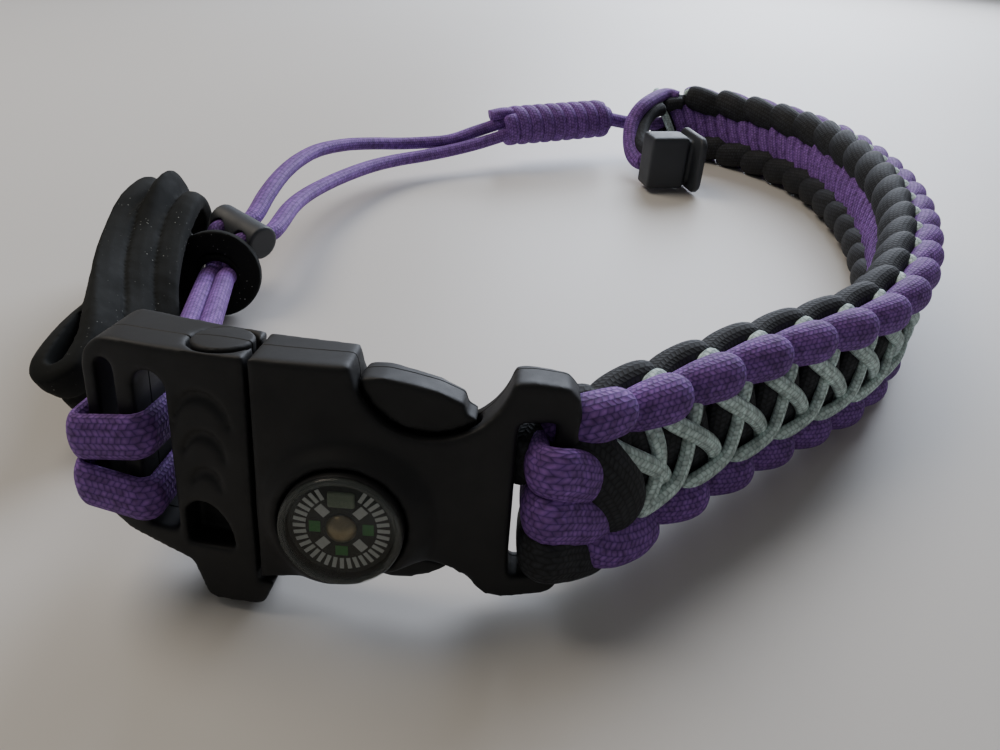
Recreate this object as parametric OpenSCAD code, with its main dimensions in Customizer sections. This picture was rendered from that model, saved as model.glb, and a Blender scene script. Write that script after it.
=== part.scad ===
// Paracord bracelet with a whistle-and-compass buckle, fastened and lying on its edge.
// Millimetres, +Z up. The buckle faces -Y and the woven band runs round to its right.

/* [Buckle] */
// Length of the fastened buckle
buckle_length = 53.5; // [52:0.5:56]
// Height of the buckle from its foot to its top
buckle_height = 30.7; // [30:0.1:32]
// Thickness of the buckle at its middle, between its thick left end and its thin right one
buckle_thickness = 7.3; // [7.2:0.1:8]
// Radius that the outer face is curved to
face_radius = 95; // [88:1:105]
// Angle that the buckle leans back by
buckle_lean = 9; // [7:0.5:11]
// Length of the whistle half that shows
whistle_length = 18.7; // [18.4:0.1:19.2]
// Height of the body's lower edge above the foot
lower_edge = 3.9; // [3.5:0.1:4.3]
// Radius of the whistle half's outer corner
corner_radius = 4; // [3:0.2:5]
// Gap between moulded parts that fit together
fit_gap = 0.3; // [0.2:0.05:0.4]
// Thickness of the socket's face and back panels
panel_thickness = 1.9; // [1.8:0.1:2]

/* [Bars and slots] */
// Width of the outer bar that the adjuster cord goes round
outer_bar = 1.6; // [1.4:0.1:1.9]
// Width of the narrow slot beside it
narrow_slot = 2.2; // [2:0.1:2.4]
// Width of the middle bar
middle_bar = 2.2; // [2:0.1:2.4]
// Width of the wide slot that the adjuster cord passes
wide_slot = 3.8; // [3.6:0.1:4.2]
// Width of the socket half's end bar
end_bar = 2.8; // [2.4:0.1:3.2]
// Width of the slot beside the end bar
end_slot = 4; // [3.8:0.1:4.4]
// Height of the slot beside the end bar
end_slot_height = 19.4; // [19:0.1:19.8]

/* [Side plug] */
// Diameter of the round plug in the whistle half's top edge
plug_diameter = 6.6; // [6:0.1:7]
// Depth that the plug is let in
plug_depth = 1.4; // [1:0.1:2]

/* [Compass] */
// Distance of the compass centre from the middle of the buckle
compass_along = 2.1; // [1.8:0.1:2.4]
// Height of the compass centre above the foot
compass_height = 12.9; // [12.6:0.1:13.2]
// Diameter of the raised boss at the face
boss_diameter = 19; // [18.5:0.5:19.5]
// Diameter of the boss where the capsule leaves it
boss_rim = 15.4; // [15:0.2:16]
// Height of the boss above the face
boss_rise = 1.7; // [1.4:0.1:2]
// Diameter of the compass capsule
capsule_diameter = 13.4; // [13:0.1:13.8]
// Depth of the capsule below the face
capsule_depth = 1.3; // [1.1:0.1:1.3]
// Height of the capsule's rim above the face
capsule_rise = 2.3; // [2.1:0.1:2.6]
// Wall of the capsule cup and its clear dome
capsule_wall = 0.6; // [0.5:0.05:0.7]
// Height of the clear dome above the rim
dome_rise = 1.1; // [0.9:0.1:1.4]
// Diameter of the turning card
card_diameter = 11.4; // [11:0.1:11.6]
// Thickness of the turning card
card_thickness = 0.5; // [0.4:0.05:0.6]
// Height of the card above the capsule's floor
card_lift = 1.9; // [1.6:0.1:2.1]
// Diameter of the pivot cap on the card
pivot_diameter = 3.2; // [2.8:0.1:3.6]

/* [Woven band] */
// Length of the woven band along its middle
band_length = 240; // [237:1:243]
// Height of the band as it stands on its edge
band_height = 20.4; // [20:0.1:21]
// Thickness of the band
band_thickness = 9; // [8.6:0.1:9.4]
// Length of one knot of the weave
knot_pitch = 10; // [9.6:0.1:10.4]
// Height that each edge bump stands proud
bump_height = 0.7; // [0.4:0.1:1]

/* [Cords] */
// Width of the flattened cord on the bars
flat_cord_width = 5.4; // [5:0.1:5.6]
// Thickness of the flattened cord on the bars
flat_cord_thickness = 2.9; // [2.6:0.1:3]
// Thickness of the adjuster cord where it is pulled tight round the outer bars
tight_cord_thickness = 1.9; // [1.7:0.1:2.1]
// Diameter of the adjuster cord where it hangs free
adjuster_diameter = 3.4; // [3.2:0.1:3.6]
// Diameter of the loop of cord at the band's far end
end_loop_diameter = 4; // [3.6:0.1:4.4]

/* [Barrel knot] */
// Length of the wrapped knot
knot_length = 35; // [34:0.5:36]
// Diameter over the wraps
knot_diameter = 11.2; // [10.8:0.1:11.6]
// Number of wraps
knot_wraps = 9; // [8:1:10]

/* [Cord toggle] */
// Length of the barrel toggle
toggle_length = 12.4; // [12:0.2:13]
// Diameter of the barrel toggle
toggle_diameter = 6.6; // [6.4:0.1:7]
// Distance between its two cross holes
toggle_hole_gap = 6.4; // [6:0.1:6.6]

/* [Rubber strap] */
// Width of the ribbed strap
strap_width = 15.5; // [14.5:0.1:16.5]
// Thickness of the strap between its ribs
strap_web = 2; // [1.8:0.1:2.4]
// Height of the ribs above the web
rib_height = 1.3; // [1:0.1:1.5]
// Diameter of the eyelet tab
tab_diameter = 16; // [15:0.2:17]
// Thickness of the eyelet tab
tab_thickness = 2.4; // [2:0.1:3]
// Diameter of the eyelet
eyelet_diameter = 8; // [7.8:0.1:8.4]

/* [End block] */
// Width of the block
block_width = 11; // [10:0.2:12]
// Depth of the block
block_depth = 8; // [7:0.2:9]
// Height of the block
block_height = 14.5; // [13.5:0.2:15.5]
// Thickness of the rim beside its groove
block_rim = 2.2; // [2:0.1:2.6]
// Width of the groove between block and rim
block_groove = 1.6; // [1.4:0.1:2]

/* [Hidden] */
$fn = 64;
EPS = 0.01;

// Colours, as the photo shows them
BLACK_PLASTIC = [0.13, 0.14, 0.15];
BLACK_CORD = [0.09, 0.09, 0.10];
PURPLE_CORD = [0.36, 0.24, 0.56];
RUBBER = [0.17, 0.18, 0.18];
CLEAR = [0.80, 0.85, 0.86, 0.5];
CARD_INK = [0.10, 0.16, 0.14];
BRASS = [0.66, 0.60, 0.45];

// The buckle's place: the foot below the middle of its outer face, and its turn about Z
buckle_foot = [-27.7, -89.9, 1.3];
buckle_turn = -0.9;

// Where the band starts, and the way that it heads there
band_start = [1.7, -78.3];
band_heading = 42;
// How the band bends: rows of [share of its length, turn in degrees]
BEND_SHARE = 0;
BEND_TURN = 1;
band_bends = [
    [0.20, -4],
    [0.12, 23],
    [0.22, 17],
    [0.18, 18],
    [0.20, 49],
    [0.08, 54]
];
// How the band stands: rows of [share of its length, lean in degrees, lift in mm]
// It leans back with the buckle where it starts, and flares outwards at the top further on
STAND_SHARE = 0;
STAND_LEAN = 1;
STAND_LIFT = 2;
band_stance = [
    [0.00, 11, 4.0],
    [0.12, 7, 3.4],
    [0.25, -1, 2.4],
    [0.40, -6, 1.6],
    [0.55, -10, 1.0],
    [0.75, -12, 0.5],
    [1.00, -8, 0.0]
];
rings_per_knot = 4;

// The band's section: rows of [share of half thickness outwards, share of height, share of the bump, side]
// Side 1 swells with the outer row of edge bumps, and -1 with the inner row
SECTION_OUT = 0;
SECTION_UP = 1;
SECTION_BUMP = 2;
SECTION_SIDE = 3;
band_section = [
    [0.00, 0.000, 0.0, 1],
    [0.50, 0.000, 1.0, 1],
    [0.92, 0.075, 0.8, 1],
    [1.00, 0.200, 0.3, 1],
    [0.86, 0.500, 0.0, 1],
    [1.00, 0.800, 0.3, 1],
    [0.92, 0.925, 0.8, 1],
    [0.50, 1.000, 1.0, 1],
    [0.00, 0.975, 0.0, 1],
    [-0.50, 1.000, 1.0, -1],
    [-0.92, 0.925, 0.8, -1],
    [-1.00, 0.800, 0.3, -1],
    [-0.86, 0.500, 0.0, -1],
    [-1.00, 0.200, 0.3, -1],
    [-0.92, 0.075, 0.8, -1],
    [-0.50, 0.000, 1.0, -1]
];

// General functions
function sum(list, i = 0) = i < len(list) ? list[i] + sum(list, i + 1) : 0;
function limit(x) = max(0, min(1, x));
function unit(v) = v / norm(v);
function mix(a, b, t) = a * (1 - t) + b * t;
function last(list) = list[len(list) - 1];
function flat(v) = [v[0], v[1]];

// From the buckle's own axes, X along it, Y into it and Z up it, to the part's
function turned(v, angle) = [v[0] * cos(angle) - v[1] * sin(angle), v[0] * sin(angle) + v[1] * cos(angle), v[2]];
function leaned(v, angle) = [v[0], v[1] * cos(angle) + v[2] * sin(angle), v[2] * cos(angle) - v[1] * sin(angle)];
function on_buckle(v) = buckle_foot + turned(leaned(v, buckle_lean), buckle_turn);
function buckle_way(v) = turned(leaned(v, buckle_lean), buckle_turn);

// Depth of the curved outer face at a distance along the buckle, and of its back,
// whose curve sits further to the right, so that the buckle thins towards that end
back_radius = 92;
back_shift = 8.8;
back_centre = buckle_thickness + sqrt(pow(back_radius, 2) - pow(back_shift, 2));
function face_depth(along) = face_radius - sqrt(pow(face_radius, 2) - pow(along, 2));
function back_depth(along) = back_centre - sqrt(pow(back_radius, 2) - pow(along - back_shift, 2));

// The band's heading and the points along its middle
function bends_done(i) = i > 0 ? sum([for (k = [0:i - 1]) band_bends[k][BEND_SHARE]]) : 0;
function heading(share) = band_heading + sum([
    for (i = [0:len(band_bends) - 1])
        band_bends[i][BEND_TURN] * limit((share - bends_done(i)) / band_bends[i][BEND_SHARE])
]);
band_rings = round(band_length / knot_pitch * rings_per_knot);
band_step = band_length / band_rings;
band_line = [
    for (
        i = 0, p = band_start;
        i <= band_rings;
        p = p + band_step * [cos(heading((i + 0.5) / band_rings)), sin(heading((i + 0.5) / band_rings))], i = i + 1
    ) p
];
band_end = last(band_line);
band_end_heading = heading(1);
function between(table, column, share, i = 0) =
    i >= len(table) - 2 || share <= table[i + 1][0]
        ? mix(table[i][column], table[i + 1][column], limit((share - table[i][0]) / (table[i + 1][0] - table[i][0])))
        : between(table, column, share, i + 1);

// Solids through rings of points
module skin(rings, closed = false) {
    n = len(rings[0]);
    m = len(rings);
    walls = [
        for (i = [0:m - (closed ? 1 : 2)])
            for (j = [0:n - 1])
                let (
                    a = i * n + j,
                    b = i * n + (j + 1) % n,
                    c = ((i + 1) % m) * n + (j + 1) % n,
                    d = ((i + 1) % m) * n + j
                )
                each [[a, b, c], [a, c, d]]
    ];
    caps = closed ? [] : [[for (j = [n - 1:-1:0]) j], [for (j = [0:n - 1]) (m - 1) * n + j]];
    polyhedron([for (ring = rings) each ring], concat(walls, caps));
}

// One rounded corner of a route, as [x, y, z, thickness, width] points
function place_of(p) = [p[0], p[1], p[2]];
function corner(a, b, c, radius, steps) =
    let (
        p = place_of(b),
        u = unit(place_of(a) - p),
        v = unit(place_of(c) - p),
        half = acos(max(-1, min(1, u * v))) / 2
    )
    half > 88 ? [b] :
    let (
        reach = radius / tan(half),
        middle = p + unit(u + v) * radius / sin(half),
        e = (p + u * reach - middle) / radius,
        f = (p + v * reach - middle) / radius,
        sweep = 180 - 2 * half,
        count = max(1, round(steps * sweep / 90))
    )
    [
        for (k = [0:count])
            let (q = middle + radius * (sin(sweep * (1 - k / count)) * e + sin(sweep * k / count) * f) / sin(sweep))
            [q[0], q[1], q[2], b[3], b[4]]
    ];
function route(points, radius, steps = 3) = [
    points[0],
    for (i = [1:len(points) - 2]) each corner(points[i - 1], points[i], points[i + 1], radius, steps),
    last(points)
];

// A point on the smooth curve through four points, between the second and third
function curved(a, b, c, d, t) =
    0.5 * (2 * b + (c - a) * t + (2 * a - 5 * b + 4 * c - d) * t * t + (3 * b - a - 3 * c + d) * t * t * t);
function smooth(points, steps) = [
    for (i = [0:len(points) - 2])
        for (k = [0:steps - 1])
            curved(
                points[max(i - 1, 0)], points[i], points[i + 1], points[min(i + 2, len(points) - 1)], k / steps
            ),
    last(points)
];
function smooth_ring(points, steps) =
    let (n = len(points))
    [
        for (i = [0:n - 1])
            for (k = [0:steps - 1])
                curved(points[(i + n - 1) % n], points[i], points[(i + 1) % n], points[(i + 2) % n], k / steps)
    ];

// A cord along a line of [x, y, z, thickness, width] points, its width held along one way
module cord(line, wide_way, sides = 8) {
    skin([
        for (i = [0:len(line) - 1])
            let (
                before = place_of(line[max(i - 1, 0)]),
                after = place_of(line[min(i + 1, len(line) - 1)]),
                ahead = unit(after - before),
                thin = unit(cross(wide_way, ahead)),
                wide = cross(ahead, thin)
            )
            [
                for (k = [0:sides - 1])
                    let (a = 360 * (k + 0.5) / sides)
                    place_of(line[i]) + line[i][3] / 2 * cos(a) * thin + line[i][4] / 2 * sin(a) * wide
            ]
    ]);
}
function round_cord(points, diameter) = [for (p = points) [p[0], p[1], p[2], diameter, diameter]];

// The whole part is moved so that its origin is below the middle of its box
strap_reach = -83.5;
part_right = max([for (p = band_line) p[0]]) + band_thickness / 2;
part_back = max([for (p = band_line) p[1]]) + band_thickness / 2;
part_front = on_buckle([compass_along, -capsule_rise - dome_rise, compass_height])[1];
part_middle = [(strap_reach + part_right) / 2, (part_front + part_back) / 2];
module at_origin() {
    translate([-part_middle[0], -part_middle[1], 0]) children();
}
module on_buckle_axes() {
    at_origin() translate(buckle_foot) rotate([-buckle_lean, 0, buckle_turn]) children();
}

// Places along the buckle
left = -buckle_length / 2;
right = buckle_length / 2;
seam = left + whistle_length;
top = buckle_height;
mid_height = (top + lower_edge) / 2;
narrow_slot_left = left + outer_bar;
wide_slot_left = narrow_slot_left + narrow_slot + middle_bar;
end_slot_right = right - end_bar;
end_slot_left = end_slot_right - end_slot;
end_slot_low = 5.3;

// A plate that starts a depth below the curved face and stops a distance short of the curved back
module curved_plate(near, short) {
    difference() {
        translate([0, face_radius, -20]) cylinder(r = face_radius - near, h = 80, $fn = 240);
        translate([back_shift, back_centre, -21]) cylinder(r = back_radius + short, h = 82, $fn = 240);
    }
}
// Everything down to a depth below the curved face
module face_layer(depth) {
    translate([0, face_radius, -20]) difference() {
        cylinder(r = face_radius + 1, h = 80, $fn = 240);
        translate([0, 0, -1]) cylinder(r = face_radius - depth, h = 82, $fn = 240);
    }
}
// An outline drawn on the face, cut straight through
module through_face(near = -10, far = 30) {
    translate([0, far, 0]) rotate([90, 0, 0]) linear_extrude(far - near) children();
}
module slot_outline(x, width, low, high) {
    translate([x, low]) square([width, high - low - width / 2]);
    translate([x + width / 2, high - width / 2]) circle(d = width);
}

// Whistle half
foot_width = 7.2;
foot_middle = seam - 2.6;
window_width = 5.6;
window_low = 7.2;
window_height = 5.6;
window_depth = 3.6;
window_middle = seam - 5.1;
groove_depth = 0.5;
groove_width = 0.9;
// The grooves over the window: rows of [height of the top, radius]
whistle_grooves = [[26.4, 3.4], [21.9, 2.6], [17.4, 1.9]];

module whistle_outline() {
    polygon([
        [left, top - corner_radius],
        [left + corner_radius, top],
        [seam, top],
        [seam, lower_edge - 0.7],
        [foot_middle + foot_width / 2 + 0.9, lower_edge - 0.7],
        [foot_middle + foot_width / 2 - 0.4, 0.3],
        [foot_middle + foot_width / 2 - 1.2, 0],
        [foot_middle - foot_width / 2 + 0.8, 0],
        [foot_middle - foot_width / 2, 0.5],
        [foot_middle - foot_width / 2 - 1.5, lower_edge + 0.8],
        [left + 9.7, lower_edge + 1.3],
        [left + 3.4, lower_edge + 3.4],
        [left + 0.6, lower_edge + 5.4],
        [left, lower_edge + 6.6]
    ]);
    translate([left + corner_radius, top - corner_radius]) circle(r = corner_radius);
}

// Each groove is a crescent, tallest at its top and fading down its legs
groove_stretch = 1.4;
groove_leg_share = 0.35;
module groove_outline(high, radius) {
    translate([window_middle, high - groove_stretch * radius]) intersection() {
        difference() {
            scale([1, groove_stretch]) circle(r = radius);
            translate([0, -groove_width]) scale([1, groove_stretch]) circle(r = radius - groove_width / 3);
        }
        translate([-2 * radius, -groove_leg_share * radius]) square([4 * radius, 3 * radius]);
    }
}

// The window's left side stands upright and its right side leans out towards the foot
module window_outline() {
    translate([window_middle, window_low]) polygon([
        [-window_width / 2, 0],
        [-window_width / 2, window_height - 1.2],
        [-0.36 * window_width, window_height - 0.4],
        [-0.2 * window_width, window_height],
        [0, window_height - 0.1],
        [0.18 * window_width, window_height - 0.8],
        [0.34 * window_width, window_height - 2],
        [0.44 * window_width, window_height - 3.4],
        [window_width / 2, 0]
    ]);
}

// The prong pads that show in the socket's side openings
pad_inset = panel_thickness + fit_gap;
lower_pad_points = [[5, 10], [4.6, 6.4], [5.4, 5.1], [7.1, 4.6], [9.2, 4.7], [11.3, 5.2], [13.1, 6.1], [14, 7.6], [13.8, 10]];
module upper_prong_outline() {
    polygon([
        [seam - 2, 26.2],
        [3.2, 26.2],
        [3.2, top - 2],
        [4, top - 1.5],
        [6, top - 1.4],
        [8.5, top - 1.9],
        [11.5, top - 2.7],
        [14.2, top - 4],
        [14.4, top - 5.2],
        [15.6, top - 5.8],
        [15.2, top - 8.6],
        [9, 20.4],
        [seam - 2, 20.4]
    ]);
}
module lower_prong_outline() {
    mirrored_low = 2 * mid_height;
    translate([0, mirrored_low]) mirror([0, 1]) upper_prong_outline();
    polygon(lower_pad_points);
}
// Where the pads stand free in the openings they are thicker
pad_swell_inset = 1;
pad_play = 0.4;
module prong_swell(middle) {
    intersection() {
        curved_plate(pad_swell_inset, pad_swell_inset);
        through_face() intersection() {
            children();
            translate(middle) circle(r = notch_radius - pad_play);
        }
    }
}

module side_plug_axes() {
    plug_along = seam - 3.6;
    translate([plug_along, (face_depth(plug_along) + back_depth(plug_along)) / 2, top]) children();
}

module whistle_half() {
    color(BLACK_PLASTIC) on_floor() on_buckle_axes() {
        difference() {
            intersection() {
                curved_plate(0, 0);
                through_face() whistle_outline();
            }
            through_face() slot_outline(narrow_slot_left, narrow_slot, 10.8, 28.2);
            through_face() slot_outline(wide_slot_left, wide_slot, 8.6, 27.6);
            intersection() {
                face_layer(window_depth);
                through_face() window_outline();
            }
            for (groove = whistle_grooves) {
                intersection() {
                    face_layer(groove_depth);
                    through_face() groove_outline(groove[0], groove[1]);
                }
            }
            side_plug_axes() translate([0, 0, -plug_depth]) cylinder(d = plug_diameter + 2 * fit_gap, h = plug_depth + 5);
        }
        intersection() {
            curved_plate(pad_inset, pad_inset);
            through_face() upper_prong_outline();
        }
        intersection() {
            curved_plate(pad_inset, pad_inset);
            through_face() lower_prong_outline();
        }
        prong_swell(notch_middle) upper_prong_outline();
        prong_swell(lower_notch_middle) lower_prong_outline();
    }
}

module side_plug() {
    color(BLACK_PLASTIC) on_buckle_axes() side_plug_axes() {
        translate([0, 0, -plug_depth + 0.1]) cylinder(d = plug_diameter, h = plug_depth - 0.1);
        intersection() {
            translate([0, 0, -EPS]) cylinder(d = plug_diameter - 0.4, h = 1);
            translate([0, 0, -30 + 0.35]) sphere(r = 30, $fn = 128);
        }
    }
}

// Cut level with the surface that the bracelet lies on
cut_reach = 200;
cut_depth = 20;
module on_floor() {
    difference() {
        children();
        translate([-cut_reach, -cut_reach, -cut_depth]) cube([2 * cut_reach, 2 * cut_reach, cut_depth]);
    }
}

// Socket half
notch_radius = 8.3;
notch_middle = [11, top + 0.4];
lower_notch_middle = [9.6, 2 * mid_height - notch_middle[1] - 4.1];
end_step = 1.2;
module socket_outline() {
    difference() {
        union() {
            polygon([
                [seam + fit_gap, lower_edge],
                [seam + fit_gap, top],
                [notch_middle[0], top],
                [notch_middle[0], top - end_step],
                [right - 5.5, top - end_step],
                [right - 1.8, top - end_step - 0.7],
                [right - 0.5, top - end_step - 2.2],
                [right, top - end_step - 4.6],
                [right, lower_edge + 2.2],
                [right - 0.5, lower_edge + 0.4],
                [right - 1.4, lower_edge - 1.1],
                [right - 3, lower_edge - 1.5],
                [right - 7.2, lower_edge - 1.5],
                [right - 8.9, lower_edge - 1.1],
                [right - 10.4, lower_edge + 0.2],
                [right - 13.4, lower_edge + 2.8]
            ]);
        }
        translate(notch_middle) circle(r = notch_radius);
        translate(lower_notch_middle) circle(r = notch_radius);
    }
}

module compass_axes() {
    translate([compass_along, face_depth(compass_along), compass_height]) rotate([90, 0, 0]) children();
}

module socket_half() {
    color(BLACK_PLASTIC) on_buckle_axes() {
        difference() {
            union() {
                intersection() {
                    curved_plate(0, 0);
                    through_face() socket_outline();
                }
                intersection() {
                    compass_axes() translate([0, 0, -1]) cylinder(d1 = boss_diameter + 2, d2 = boss_rim, h = boss_rise + 1);
                    through_face() socket_outline();
                }
            }
            // The hollow that the prongs and their guide slide into
            intersection() {
                curved_plate(panel_thickness, panel_thickness);
                through_face() union() {
                    translate([seam - 1, 20.4 - fit_gap]) square([17 - seam, 5.8 + 2 * fit_gap]);
                    translate([3, 20.4 - fit_gap]) square([13, 15]);
                    translate([seam - 1, 2 * mid_height - 26.2 - fit_gap]) square([17 - seam, 5.8 + 2 * fit_gap]);
                    translate([3, 2 * mid_height - 20.4 + fit_gap - 15]) square([13, 15]);
                }
            }
            through_face() translate([end_slot_left, end_slot_low]) square([end_slot, end_slot_height]);
            compass_axes() translate([0, 0, -capsule_depth - fit_gap / 2])
                cylinder(d = capsule_diameter + fit_gap, h = 20);
        }
    }
}

// Compass
module compass_cup() {
    color(BLACK_PLASTIC) on_buckle_axes() compass_axes() translate([0, 0, -capsule_depth]) {
        difference() {
            cylinder(d = capsule_diameter, h = capsule_depth + capsule_rise);
            translate([0, 0, capsule_wall]) cylinder(d = capsule_diameter - 2 * capsule_wall, h = 20);
        }
        cylinder(d = 0.8, h = capsule_wall + card_lift - 0.1);
    }
}

DOME_WALL = 0.45;
DOME_STEPS = 6;
dome_radius = (pow(capsule_diameter / 2, 2) + pow(dome_rise, 2)) / (2 * dome_rise);
function dome_arc(radius) = [
    for (k = [0:DOME_STEPS])
        let (a = acos((dome_radius - dome_rise) / radius) * k / DOME_STEPS)
        [radius * sin(a), max(0, dome_rise - dome_radius + radius * cos(a))]
];
module compass_dome() {
    color(CLEAR) on_buckle_axes() compass_axes() translate([0, 0, capsule_rise + 0.05])
        rotate_extrude() polygon(concat(dome_arc(dome_radius), [
            for (k = [DOME_STEPS:-1:0]) dome_arc(dome_radius - DOME_WALL)[k]
        ]));
}

module card_axes() {
    compass_axes() translate([0, 0, -capsule_depth + capsule_wall + card_lift]) children();
}

module compass_card() {
    color(CARD_INK) on_buckle_axes() card_axes() cylinder(d = card_diameter, h = card_thickness);
}

module pivot_cap() {
    color(BRASS) on_buckle_axes() card_axes() translate([0, 0, card_thickness]) intersection() {
        cylinder(d = pivot_diameter, h = 0.9);
        translate([0, 0, 0.9 - pivot_diameter]) sphere(r = pivot_diameter);
    }
}

// Woven band
module woven_band() {
    color(BLACK_CORD) at_origin() skin([
        for (i = [0:band_rings])
            let (
                share = i / band_rings,
                way = heading(share),
                out = [sin(way), -cos(way), 0],
                lean = between(band_stance, STAND_LEAN, share),
                lift = between(band_stance, STAND_LIFT, share) + abs(sin(lean)) * band_thickness * 0.3,
                up = cos(lean) * [0, 0, 1] - sin(lean) * out,
                outwards = cos(lean) * out + sin(lean) * [0, 0, 1],
                phase = 360 * i / rings_per_knot,
                middle = [band_line[i][0], band_line[i][1], lift + cos(lean) * band_height / 2],
                end_taper = i == 0 || i == band_rings ? 0.88 : 1
            )
            [
                for (row = band_section)
                    let (
                        swell = bump_height * row[SECTION_BUMP] * (cos(phase + (row[SECTION_SIDE] > 0 ? 0 : 180)) - 1) / 2,
                        across = end_taper * (band_thickness / 2 * row[SECTION_OUT] + swell * row[SECTION_OUT]),
                        rise = band_height * (row[SECTION_UP] - 0.5) + swell * (row[SECTION_UP] > 0.5 ? 1 : -1),
                        p = middle + outwards * across + up * end_taper * rise
                    )
                    [p[0], p[1], max(0, p[2])]
            ]
    ]);
}

// Cords round the bars. The points are [along, depth, height] on the buckle
wide_up = buckle_way([0, 0, 1]);
cord_half = flat_cord_thickness / 2;
cord_play = 0.15;
function flat_cord(points, thick = flat_cord_thickness, wide = flat_cord_width) = [
    for (p = points) let (q = on_buckle(p)) [q[0], q[1], q[2], thick, wide]
];
loop_reach = right + 1.6;
module bar_loop(height) {
    slot_x = end_slot_right - cord_play - cord_half;
    front = face_depth(end_slot_right) - cord_play - cord_half;
    back = back_depth(right) + cord_play + cord_half;
    at_origin() cord(
        route(
            flat_cord([
                [loop_reach, front + 0.6, height],
                [slot_x, front, height],
                [slot_x, back, height],
                [right + 0.3, back, height]
            ]),
            cord_half + 0.4
        ),
        wide_up
    );
}
lower_loop_height = 8.6;
loop_spacing = 5.7;
module black_bar_loop() {
    color(BLACK_CORD) bar_loop(lower_loop_height);
}
module purple_bar_loop_lower() {
    color(PURPLE_CORD) bar_loop(lower_loop_height + loop_spacing);
}
module purple_bar_loop_upper() {
    color(PURPLE_CORD) bar_loop(lower_loop_height + 2 * loop_spacing);
}

// Cord toggle, eyelet tab and the adjuster cord between the knot and the buckle
toggle_middle = [-61.6, -9.6, 12.9];
toggle_way = unit([11, -7.6, -1.6]);
tab_middle = [-63.9, -19, 8.2];
tab_facing = unit([0.14, -0.96, 0.22]);
leg_gap = adjuster_diameter / 2 + 0.1;
function hole_middle(side) = toggle_middle + side * toggle_way * toggle_hole_gap / 2;
hole_way = unit([-toggle_way[1], toggle_way[0], 0]);
hole_reach = toggle_diameter / 2 + 1.1;

// Points that the upper and lower legs follow from the knot to the toggle
upper_leg_points = [
    [-13.2, 85, 13.2],
    [-22, 80, 10.9],
    [-29, 75, 9.3],
    [-36, 71, 9.2],
    [-42.5, 67, 9.6],
    [-49, 60.5, 11],
    [-54.5, 53, 12.4],
    [-59, 43, 13.6],
    [-61.2, 32, 14.2],
    [-62, 20, 14.4],
    [-61.8, 8, 14.2],
    [-61.5, -4, 13.3]
];
lower_leg_points = [
    [-12.4, 82.4, 10.2],
    [-21, 76.6, 8.4],
    [-28.6, 72, 7.2],
    [-35.6, 66.6, 6.8],
    [-42, 60.4, 7],
    [-47.4, 52, 7.6],
    [-51.4, 42, 8.4],
    [-54.4, 31, 9.4],
    [-56.4, 19, 10.6],
    [-56.8, 7, 11.8],
    [-56.3, -7.5, 12.5]
];
module adjuster_cord_upper() {
    color(PURPLE_CORD) at_origin() cord(round_cord(smooth(upper_leg_points, 2), adjuster_diameter), [0, 0, 1]);
}
module adjuster_cord_lower() {
    color(PURPLE_CORD) at_origin() cord(round_cord(smooth(lower_leg_points, 2), adjuster_diameter), [0, 0, 1]);
}

module cord_toggle() {
    end_radius = toggle_diameter / 2;
    color(BLACK_PLASTIC) at_origin() translate(toggle_middle) rotate([0, 0, atan2(toggle_way[1], toggle_way[0])])
        rotate([0, 90 - asin(toggle_way[2]), 0]) difference() {
            intersection() {
                cylinder(d = toggle_diameter, h = toggle_length, center = true);
                sphere(r = toggle_length / 2 + 0.6, $fn = 96);
            }
            for (side = [-1, 1]) {
                translate([0, 0, side * toggle_hole_gap / 2]) rotate([90, 0, 0])
                    cylinder(d = adjuster_diameter + 2 * fit_gap, h = 2 * end_radius + 2, center = true);
            }
        }
}

// From the toggle through the eyelet and round the two bars, as one doubled cord
upper_heights = [18.8, 19.6, 20.2, 19.2, 19.4];
lower_heights = [13.6, 12.8, 12.2, 13.6, 13.4];
cord_end_reach = 3;
module hitch_leg(side) {
    heights = side > 0 ? upper_heights : lower_heights;
    near_tab = tab_middle + [side * leg_gap, 0, 0];
    tight_half = tight_cord_thickness / 2;
    slot_x = wide_slot_left + cord_play + tight_half;
    front = face_depth(left) - 0.8 - tight_half;
    outside = left - cord_play - tight_half;
    behind = back_depth(left) + cord_play + tight_half;
    d = adjuster_diameter;
    legs = [
        for (p = [
            hole_middle(side) + hole_way * (hole_reach - 0.1),
            hole_middle(side) - hole_way * (hole_reach - 0.8),
            near_tab + [0, 2.8, -0.9],
            near_tab + [0.9, -3, 0.4],
            [-56.6 + side * leg_gap, -47, 12.4]
        ]) [p[0], p[1], p[2], d, d]
    ];
    wraps = flat_cord([
        [slot_x - 0.6, behind + 3.2, heights[0]],
        [slot_x, behind - 0.6, heights[1]],
        [slot_x, face_depth(wide_slot_left) - tight_half - 0.1, heights[2]],
        [outside, front, heights[3]],
        [outside, behind, heights[4]],
        [left + cord_end_reach, behind + 0.2, heights[4]]
    ], tight_cord_thickness, flat_cord_width);
    at_origin() cord(route(concat(legs, wraps), tight_half + 0.5), wide_up);
}
module hitch_cord() {
    color(PURPLE_CORD) {
        hitch_leg(1);
        hitch_leg(-1);
    }
}

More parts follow.
